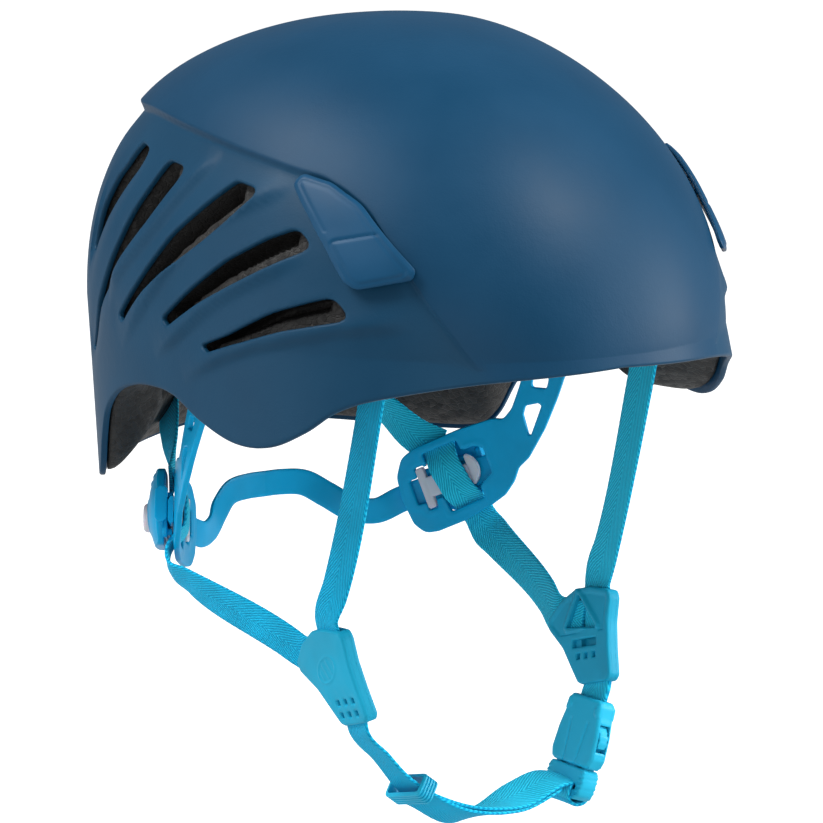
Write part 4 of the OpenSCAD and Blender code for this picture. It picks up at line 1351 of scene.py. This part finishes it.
def adjusters():
    base = rounded([[-9, -15], [9, -15], [12.5, -5], [12, 7], [7, 15], [-7, 15], [-12, 7], [-12.5, -5]], 5)

    def dome(xy, d):
        bulge = 1 - np.clip((xy[:, 0] / 14) ** 2 + (xy[:, 1] / 19) ** 2, 0, 1)
        ring = np.hypot(xy[:, 0] - 5.5, xy[:, 1] + 2.5)
        collar = 0.5 * np.exp(-((ring - 7.4) / 0.8) ** 2)
        ribs = 0.35 * ease((np.sin(xy[:, 1] * 2.2) + 0.2) / 0.5) * (np.abs(xy[:, 0]) < 5) * (xy[:, 1] > 7.5)
        return 7.1 + 5.6 * bulge ** 0.8 + collar + ribs

    cap = slab([base], [disc(5.5, -2.5, 5.9)], flat_plate, dome, 5.95, 1.0, 0.5, step=0.7, steps=4)
    saddle = slab([rounded([[-11, -12.5], [16.5, -12.5], [16.5, 5], [-11, 4]], 2)], [], flat_plate,
                  6.5, 4.7, 0.4, step=1.0)
    beside = PLATE_TURN @ np.array([[0, 0, 1], [1, 0, 0], [0, 1, 0.0]])
    fin_place = frame_at(at(flat_plate, -11.4, 0, 8), beside)
    fin = slab([rounded([[-7.5, -0.5], [-6, -3.4], [6, -3.4], [7.5, -0.5], [5.5, 1.6], [-5.5, 1.6]], 1.2)],
               [], fin_place, 1.3, -1.3, 0.5, step=0.6)
    cheeks = [slab([rounded([[-9, low], [9, low], [8, high], [-8, high]], 1.2)], [], flat_plate,
                   6.4, 2.95, 0.4, step=0.8) for low, high in ((3.2, 5.2), (-11.6, -8.7))]
    both("adjuster_cap", joined(cap, saddle, fin, *cheeks), ADJUST, "adjuster_{}", "adjuster",
         "adjuster_cap_{}")

    profile = [[5.3, 8.2], [5.6, 9.8], [5.6, 13.2], [5.45, 13.9], [5.0, 14.5], [4.4, 14.8], [3.8, 14.8],
               [3.2, 14.6], [2.2, 14.35], [0.8, 14.25]]
    points, faces = lathe(profile, flat_plate, (5.5, -2.5), 56)
    both("lock_button", (points, face_out(points, faces)), LOCK, "lock_{}", "lock", "lock_button_{}")


adjusters()


def lock_clips():
    stem = rounded([[-7, -6.2], [12, -6.2], [12, 2], [-7, 2]], 0.4)
    bar = rounded([[11, -10.4], [14.2, -10.4], [14.2, 6.4], [11, 6.4]], 0.9)
    x, y = -4.2, -0.7
    bow = sorted((p for p in disc(x, y, 7.1, 64) if p[0] < -6.5),
                 key=lambda p: -math.atan2(p[1] - y, -(p[0] - x)))
    bow = rounded([p.tolist() for p in bow], 0.3)

    def top(xy, d):
        return 1.9 - 0.25 * np.exp(-((d - 1.2) / 0.4) ** 2)

    def low(xy, d):
        return -0.6 - 0.15 * ease(d / 1.5)

    shape = slab([stem, bar, bow], [], on_plate, top, low, 0.35, step=0.45)
    both("lock_clip", shape, LOCK, "headband", "lock", "lock_clip_{}")


lock_clips()


# ------------------------------------------------------------------ strap dividers
DIVIDER_TURN = turn("Y", 11) @ turn("X", -17) @ turn("Z", 90) @ turn("X", 90)
on_divider = frame_at([57.5, -50, -126], DIVIDER_TURN)
DIVIDER_OUTLINE = [[-16, 11, 3], [-15, 14, 2], [-4, 16.5, 4], [5, 16.5, 4], [15, 12.5, 4], [22.5, 6.5, 2.5],
                   [22.5, 2.5, 2.5], [14, -5.5, 12], [8, -15, 12], [5, -19.5, 2.5], [2.5, -20.5, 2],
                   [-13, -20.5, 2.5], [-15, -18.5, 2.5], [-14.3, -8, 14], [-14.3, 2, 14]]


def divider_point(x, y, z=0.0):
    return at(on_divider, x, y, z)


def divider_way(x, y):
    return DIVIDER_TURN @ np.array([x, y, 0.0])


def square(x, y, side):
    h = side / 2
    return rounded([[x - h, y - h], [x + h, y - h], [x + h, y + h], [x - h, y + h]], 0.3, 3)


def dividers():
    outline = rounded(DIVIDER_OUTLINE, 2, 6)
    squares = [square(x, y, 2.0) for x in (-9, -3.5, 2) for y in (-11.6, -16.4)]

    def outer_top(xy, d):
        a = math.radians(-24)
        x, y = xy[:, 0] - 1.5, xy[:, 1] - 1.5
        u, w = x * math.cos(a) + y * math.sin(a), y * math.cos(a) - x * math.sin(a)
        oval = np.hypot(u / 7.4, w / 4.2)
        ring = 0.28 * np.exp(-((oval - 1) / 0.075) ** 2)
        bars = 0.2 * (oval < 0.78) * ease((np.sin(u * 1.7) - 0.1) / 0.5)
        return 2.75 + 0.35 * ease(d / 6) + ring + bars

    outer = slab([outline], squares, on_divider, outer_top, 1.0, 0.9, 0.05, step=0.55)
    channels = [[[-12.7, -4], [2.8, -4], [2.8, 20], [-12.7, 20]],
                [[-4, -3], [4, 14.4], [12, 18.5], [27, 8], [27, 0.2]],
                [[-12.3, -23], [3.9, -23], [3.9, 6], [-12.3, 6]]]
    core = slab([outline], [np.array(c, float) for c in channels], on_divider, 1.02, -1.02, 0.04,
                step=0.7, steps=1)

    triangle = rounded([[3.2, 14.2], [11, 2.2], [-7.4, 0.6]], 0.6)
    slot_hole = rounded([[-7, -6], [7.4, -6], [7.4, -3.2], [-7, -3.2]], 0.5)
    dots = [square(x, -9.6, 2.0) for x in (-5.5, -0.7, 4.1)]

    def inner_low(xy, d):
        from_triangle = -to_loops([triangle], xy)[0]
        rib = 0.5 * ease((2.2 - from_triangle) / 0.7) * (xy[:, 1] > 0.4)
        slant = np.abs(xy[:, 0] - 3.2 - 0.62 * (xy[:, 1] - 14.2))
        tail = 0.5 * ease((1.1 - slant) / 0.5) * (xy[:, 1] > 13)
        panel = 0.45 * ease((d - 1.8) / 1.0) * (xy[:, 1] > -1)
        return -2.8 + panel - np.maximum(rib, tail) * 0.9

    inner = slab([outline], [triangle, slot_hole] + dots, on_divider, -1.0, inner_low, 0.05, 0.8, step=0.55)
    shape = joined(outer, core, inner)
    both("divider", shape, DIVIDE, "helmet", "divider", "divider_{}", smooth=35)


dividers()


# ------------------------------------------------------------------ straps
def straps():
    fore = (0, 1, 0)
    front = [((60.5, -81, -10), fore), ((60.5, -77.4, -23), fore), ((61.2, -55, -94), (0.03, 1, 0.3)),
             (divider_point(-5.4, 19.2, 0.3), divider_way(1, 0.12)),
             (divider_point(-5, 8, 0.35), divider_way(1, 0.03)),
             (divider_point(-4.8, -2, 0.35), divider_way(1, 0))]
    strap("front_strap", front, "helmet", "front_strap_{}", rests=("divider_{}",), hold="stretched")

    loop = [(plate_point(*p), plate_way(-1, 0.12)) for p in
            ([2.7, 14.4, 3.5], [2.6, 12.6, 3.1], [2.5, 10.8, 2.2], [2.2, 8, 0.2], [1.8, 5, -1.4],
             [0.4, -2, -2], [-0.6, -7.6, -1.5], [-1.2, -10.4, 0.4], [-1.8, -13, 3], [-2.1, -16, 4.6],
             [-2.6, -20, 4.9])]
    upper = [((36.5, 98, -47), (-0.25, -0.52, 0.8)), ((42, 93, -50), (-0.25, -0.52, 0.8)),
             ((49.5, 80.5, -58), (-0.15, -0.5, 0.85)), (plate_point(9.6, 17.2, 4.9), (0.22, -0.31, 0.93)),
             (plate_point(2.8, 11.2, 4.8), (0.22, -0.31, 0.93))]
    lower = [(plate_point(-4.0, -24, 3.2), plate_way(-1, 0.15)), ((71.3, 31.5, -105.9), (0.35, -0.6, 0.68)),
             ((60.9, -17.5, -119.2), (0.1, -0.3, 0.95)),
             (divider_point(19.5, 8.5, -0.35), divider_way(-0.26, 0.97)),
             (divider_point(9, 5.6, -0.35), divider_way(-0.26, 0.97)),
             (divider_point(3, 4, -0.35), divider_way(-0.26, 0.97))]
    rear = loop + lower
    first, last = loop[0][0], loop[-1][0]

    def narrow(t):
        return 15 - 1.1 * float(ease((0.34 - t) / 0.06))

    strap("rear_strap_upper", upper, "helmet", "rear_strap_upper_{}", hold="stretched",
          rests=("side_plate_{}",), blend=("helmet", "headband", (40, 93, -51), (56, 70, -66)))
    strap("strap_loop", rear, "headband", "strap_loop_{}", width=narrow, rests=("side_plate_{}",),
          part=(first, last), hold="stretched")
    strap("rear_strap_lower", rear, "helmet", "rear_strap_lower_{}", width=narrow, hold="hung",
          part=(last, lower[-1][0]), rests=("divider_{}", "side_plate_{}"),
          blend=("helmet", "headband", (66.5, 2, -112), (66, 36, -100)))


straps()

BUCKLE_TURN = turn("Y", 19) @ turn("Z", 90) @ turn("X", 90)
BUCKLE_SPOT = np.array([47.5, -60, -164])
on_buckle = frame_at(BUCKLE_SPOT, BUCKLE_TURN)


def buckle_point(x, y, z=0.0):
    return at(on_buckle, x, y, z)


def buckle_way(x, y):
    return BUCKLE_TURN @ np.array([x, y, 0.0])


# the chin strap's route between the right divider and the buckle: [centre, direction of its width]
CHIN = [[[-54.6, -60.5, -147.2], [0.1, 1, -0.25]], [[-46, -62, -157.5], [0.25, 0.9, -0.4]],
        [[-36, -63, -169], [0.25, 0.85, -0.5]], [[-24, -63.5, -178.5], [0.15, 0.8, -0.6]],
        [[-12, -63.5, -183.5], [0, 0.85, -0.5]], [[1, -63, -184], [0, 1, -0.15]],
        [[16, -62, -181.5], [-0.1, 0.93, 0.36]], [[31, -61, -177.8], [-0.1, 0.97, 0.2]]]
CHIN_BLEND = ("helmet", "buckle", (-26, -63, -178), (24, -62, -180))


def chin_straps():
    right = np.array([-1, 1, 1])
    start = [(divider_point(-4.2, -8, 0) * right, divider_way(1, 0) * right),
             (divider_point(-4.2, -15, 0) * right, divider_way(1, 0) * right)]
    end = [(buckle_point(0.6, -16.8, -3.4), buckle_way(1, 0.05))]
    strap("chin_strap", start + CHIN + end, "helmet", "chin_strap", sides=(("", 1),), blend=CHIN_BLEND,
          rests=("divider_right",), hold="hung")
    wrap = [(buckle_point(0, y, z), buckle_way(1, 0)) for y, z in
            ((-18, -4.4), (-22, -4.8), (-24.8, -2.6), (-25.2, 1), (-23.6, 4), (-20, 5.0), (-16.4, 4.9))]
    strap("buckle_wrap", wrap, "buckle", None, sides=(("", 1),), width=14.6, gap=0.6,
          rests=("buckle_male",), hold="stretched")
    lift, tail = 1.75, []
    for i in range(3, 8):
        along = np.subtract(CHIN[min(i + 1, 7)][0], CHIN[i - 1][0])
        out = unit(np.cross(along, CHIN[i][1]))
        tail.append((np.array(CHIN[i][0]) - lift * out * np.sign(out[2]), CHIN[i][1]))
    tail[0] = (np.array([-30.5, -63.2, -175.2]), CHIN[3][1])
    strap("strap_tail", tail, "helmet", "strap_tail", sides=(("", 1),), blend=CHIN_BLEND,
          rests=("chin_strap",), hold="hung")
    short = [(divider_point(-4.2, y), divider_way(1, 0)) for y in (-8, -22)]
    short += [(buckle_point(0, y), buckle_way(1, 0)) for y in (17, 10)]
    strap("buckle_strap", short, "helmet", "buckle_strap", sides=(("", 1),), thick=2.6,
          rests=("divider_left", "buckle_female"), hold="stretched")


chin_straps()


# ------------------------------------------------------------------ buckle and keeper
def mirrored(half, radius):
    return rounded(half + [[-p[0], *p[1:]] for p in reversed(half)], radius, 6)


def one(name, shape, mat, body, slot, cad, **more):
    points, faces = shape
    o = make(name, points, face_out(points, faces), mat, body, slot, **more)
    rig.replaces(o, cad)


def crowned_side(high, inner, over, extra):
    """Heights of one cheek of the buckle: (top, low) for its outer side up, and for it down."""
    def out(xy, d):
        return high + over * (1 - (xy[:, 0] / 14) ** 2) + extra(xy, d)
    return (out, inner), (-inner, lambda xy, d: -out(xy, d))


def buckle():
    outline = mirrored([[11.2, -11, 1.5], [12.9, -7, 3], [12.2, 2, 8], [10.6, 9, 5], [10.2, 13, 2.5],
                        [9, 15.2, 2.5]], 2)
    half, tab = 4.0, 2.35

    def detail(xy, d):
        bosses = sum(0.5 * ease((2.6 - np.hypot(xy[:, 0] - x, xy[:, 1] - 11)) / 0.7) for x in (-9.6, 9.6))
        slant = np.abs(xy[:, 0]) - 4.6 - 0.1 * xy[:, 1]
        return bosses - 0.45 * np.exp(-(slant / 0.5) ** 2) * (xy[:, 1] < 6)

    (top, inner), (under, low) = crowned_side(half - 0.5, tab, 0.5, detail)
    pieces = [slab([outline], [], on_buckle, top, inner, 1.3, 0.05, step=0.55),
              slab([outline], [], on_buckle, under, low, 0.05, 1.3, step=0.55)]
    openings = [np.array([[-10.6, -14], [10.6, -14], [10.6, 7], [-10.6, 7]], float)]
    openings += [rounded([[x, -4], [x + 9, -4], [x + 9, 6.4], [x, 6.4]], 1.5) for x in (7, -16)]
    openings += [np.array([[-8, 7.8], [8, 7.8], [8, 20], [-8, 20]], float)]
    core = slab([outline], openings, on_buckle, tab + 0.02, -tab - 0.02, 0.04, step=0.5, steps=1)
    one("buckle_female", joined(*pieces, core), BUCKLE, "helmet", "buckle", "buckle_female", smooth=35)

    body = mirrored([[8.6, -23.4, 2.5], [10.8, -21.6, 2], [11.6, -17, 3], [11.0, -11.4, 1]], 1.5)
    slots = [rounded([[-7.6, -19.6], [7.6, -19.6], [7.6, -17.8], [-7.6, -17.8]], 0.8)]

    def grip(xy, d):
        return 0.35 * ease((np.sin(xy[:, 1] * 3.1) + 0.1) / 0.5) * (np.abs(xy[:, 0]) > 8.8)

    (top, _), (_, low) = crowned_side(half - 0.6, 0, 0.6, grip)
    handle = slab([body], slots, on_buckle, top, low, 0.85, step=0.45)
    tongue = slab([mirrored([[3, -12.4, 0.5], [3, 3, 1], [1.6, 5.4, 1]], 1)], [], on_buckle, 2.1, -2.1,
                  0.4, step=0.5)
    one("buckle_male", joined(handle, tongue), BUCKLE, "buckle", "buckle", "buckle_male", smooth=35)

    def prong_top(xy, d):
        ribs = 0.3 * ease((np.sin(xy[:, 1] * 2.6) + 0.1) / 0.5) * (xy[:, 0] > 10.2)
        return 2.1 - ribs

    blade = rounded([[6.6, -13.4, 1], [9.2, -13.4, 1], [10.2, -6, 2], [10.2, -2.8, 0.3], [12.5, -2.6, 0.5],
                     [12.8, 0, 2], [12.4, 2.4, 1.5], [9.6, 6.4, 1], [7.4, 6.4, 1], [8, 0, 2],
                     [7, -8, 2]], 0.6)
    points, faces = slab([blade], [], on_buckle, prong_top, lambda xy, d: -prong_top(xy, d), 0.4,
                         step=0.4)
    local = (points - BUCKLE_SPOT) @ BUCKLE_TURN
    for side, sign in SIDES:
        turned = BUCKLE_SPOT + (local * [sign, 1, 1]) @ BUCKLE_TURN.T
        name = f"buckle_prong_{side}"
        one(name, (turned, faces), BUCKLE, f"prong_{side}", "buckle", name, smooth=35)


buckle()


def keeper():
    along = unit(np.subtract(CHIN[3][0], CHIN[2][0]))
    across = unit(np.array(CHIN[2][1]) - along * np.dot(CHIN[2][1], along))
    out = np.cross(along, across)
    spot = np.array([-33.2, -63.1, -171.6])

    def loop(s, a, b, r):
        return [spot + along * s + across * u + out * w
                for u, w in rounded([[-a, -b], [a, -b], [a, b], [-a, b]], r, 7)]

    blocks = []
    runs = np.linspace(-3.5, 3.5, 43)
    for s in runs:
        notch = 0.55 * ease((math.cos((s + 3.5) * 2 * math.pi / 1.4) - 0.1) / 0.5)
        edge = 0.7 * (1 - math.sqrt(max(0, 1 - max(0, abs(s) - 2.8) ** 2 / 0.49)))
        cut = notch + edge
        blocks.append(loop(s, 10 - cut, 4.7 - cut, 2.4))
    for s in runs[::-3]:
        blocks.append(loop(s, 8.5, 3.25, 1.0))
    points, faces = rings(np.array(blocks), True)
    one("strap_keeper_loop", (points, faces), BUCKLE, "keeper", "buckle", "strap_keeper", smooth=35)


keeper()

for name, o in frame["nodes"].items():
    if "anchor" in name:
        o.data.materials.clear()
        o.data.materials.append(ANCHOR)


# ------------------------------------------------------------------ floor
FLOOR_DROP = 0.06


def floor():
    """A pale floor, brighter to the camera than to the helmet so that it lights it only softly."""
    pale = plastic("floor_pale", (0.35, 0.35, 0.35), 0.9, scale=60, height=0.0001, shift=0.01,
                   Specular_IOR_Level=0.0, Emission_Color=(1, 1, 1, 1), Emission_Strength=0.3)
    ray = node(pale, "ShaderNodeLightPath")
    seen = node(pale, "ShaderNodeMapRange", {"Value": (ray, "Is Camera Ray")}, **{
        "From__Min": 0.0, "From__Max": 1.0, "To__Min": 0.32, "To__Max": 0.95})
    plug(pale, seen, "Result", "Emission Strength")
    o = make("floor", [[-9000, -6000, 0], [9000, -6000, 0], [9000, 20000, 0], [-9000, 20000, 0]],
             [[0, 1, 2, 3]], pale, None)
    o.location.z = cad_low.z - FLOOR_DROP
    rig.stage(o)


floor()

low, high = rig.bounds()
with open("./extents.json", "w") as f:
    json.dump({"cad": [list(cad_low), list(cad_high)], "visual": [list(low), list(high)]}, f)
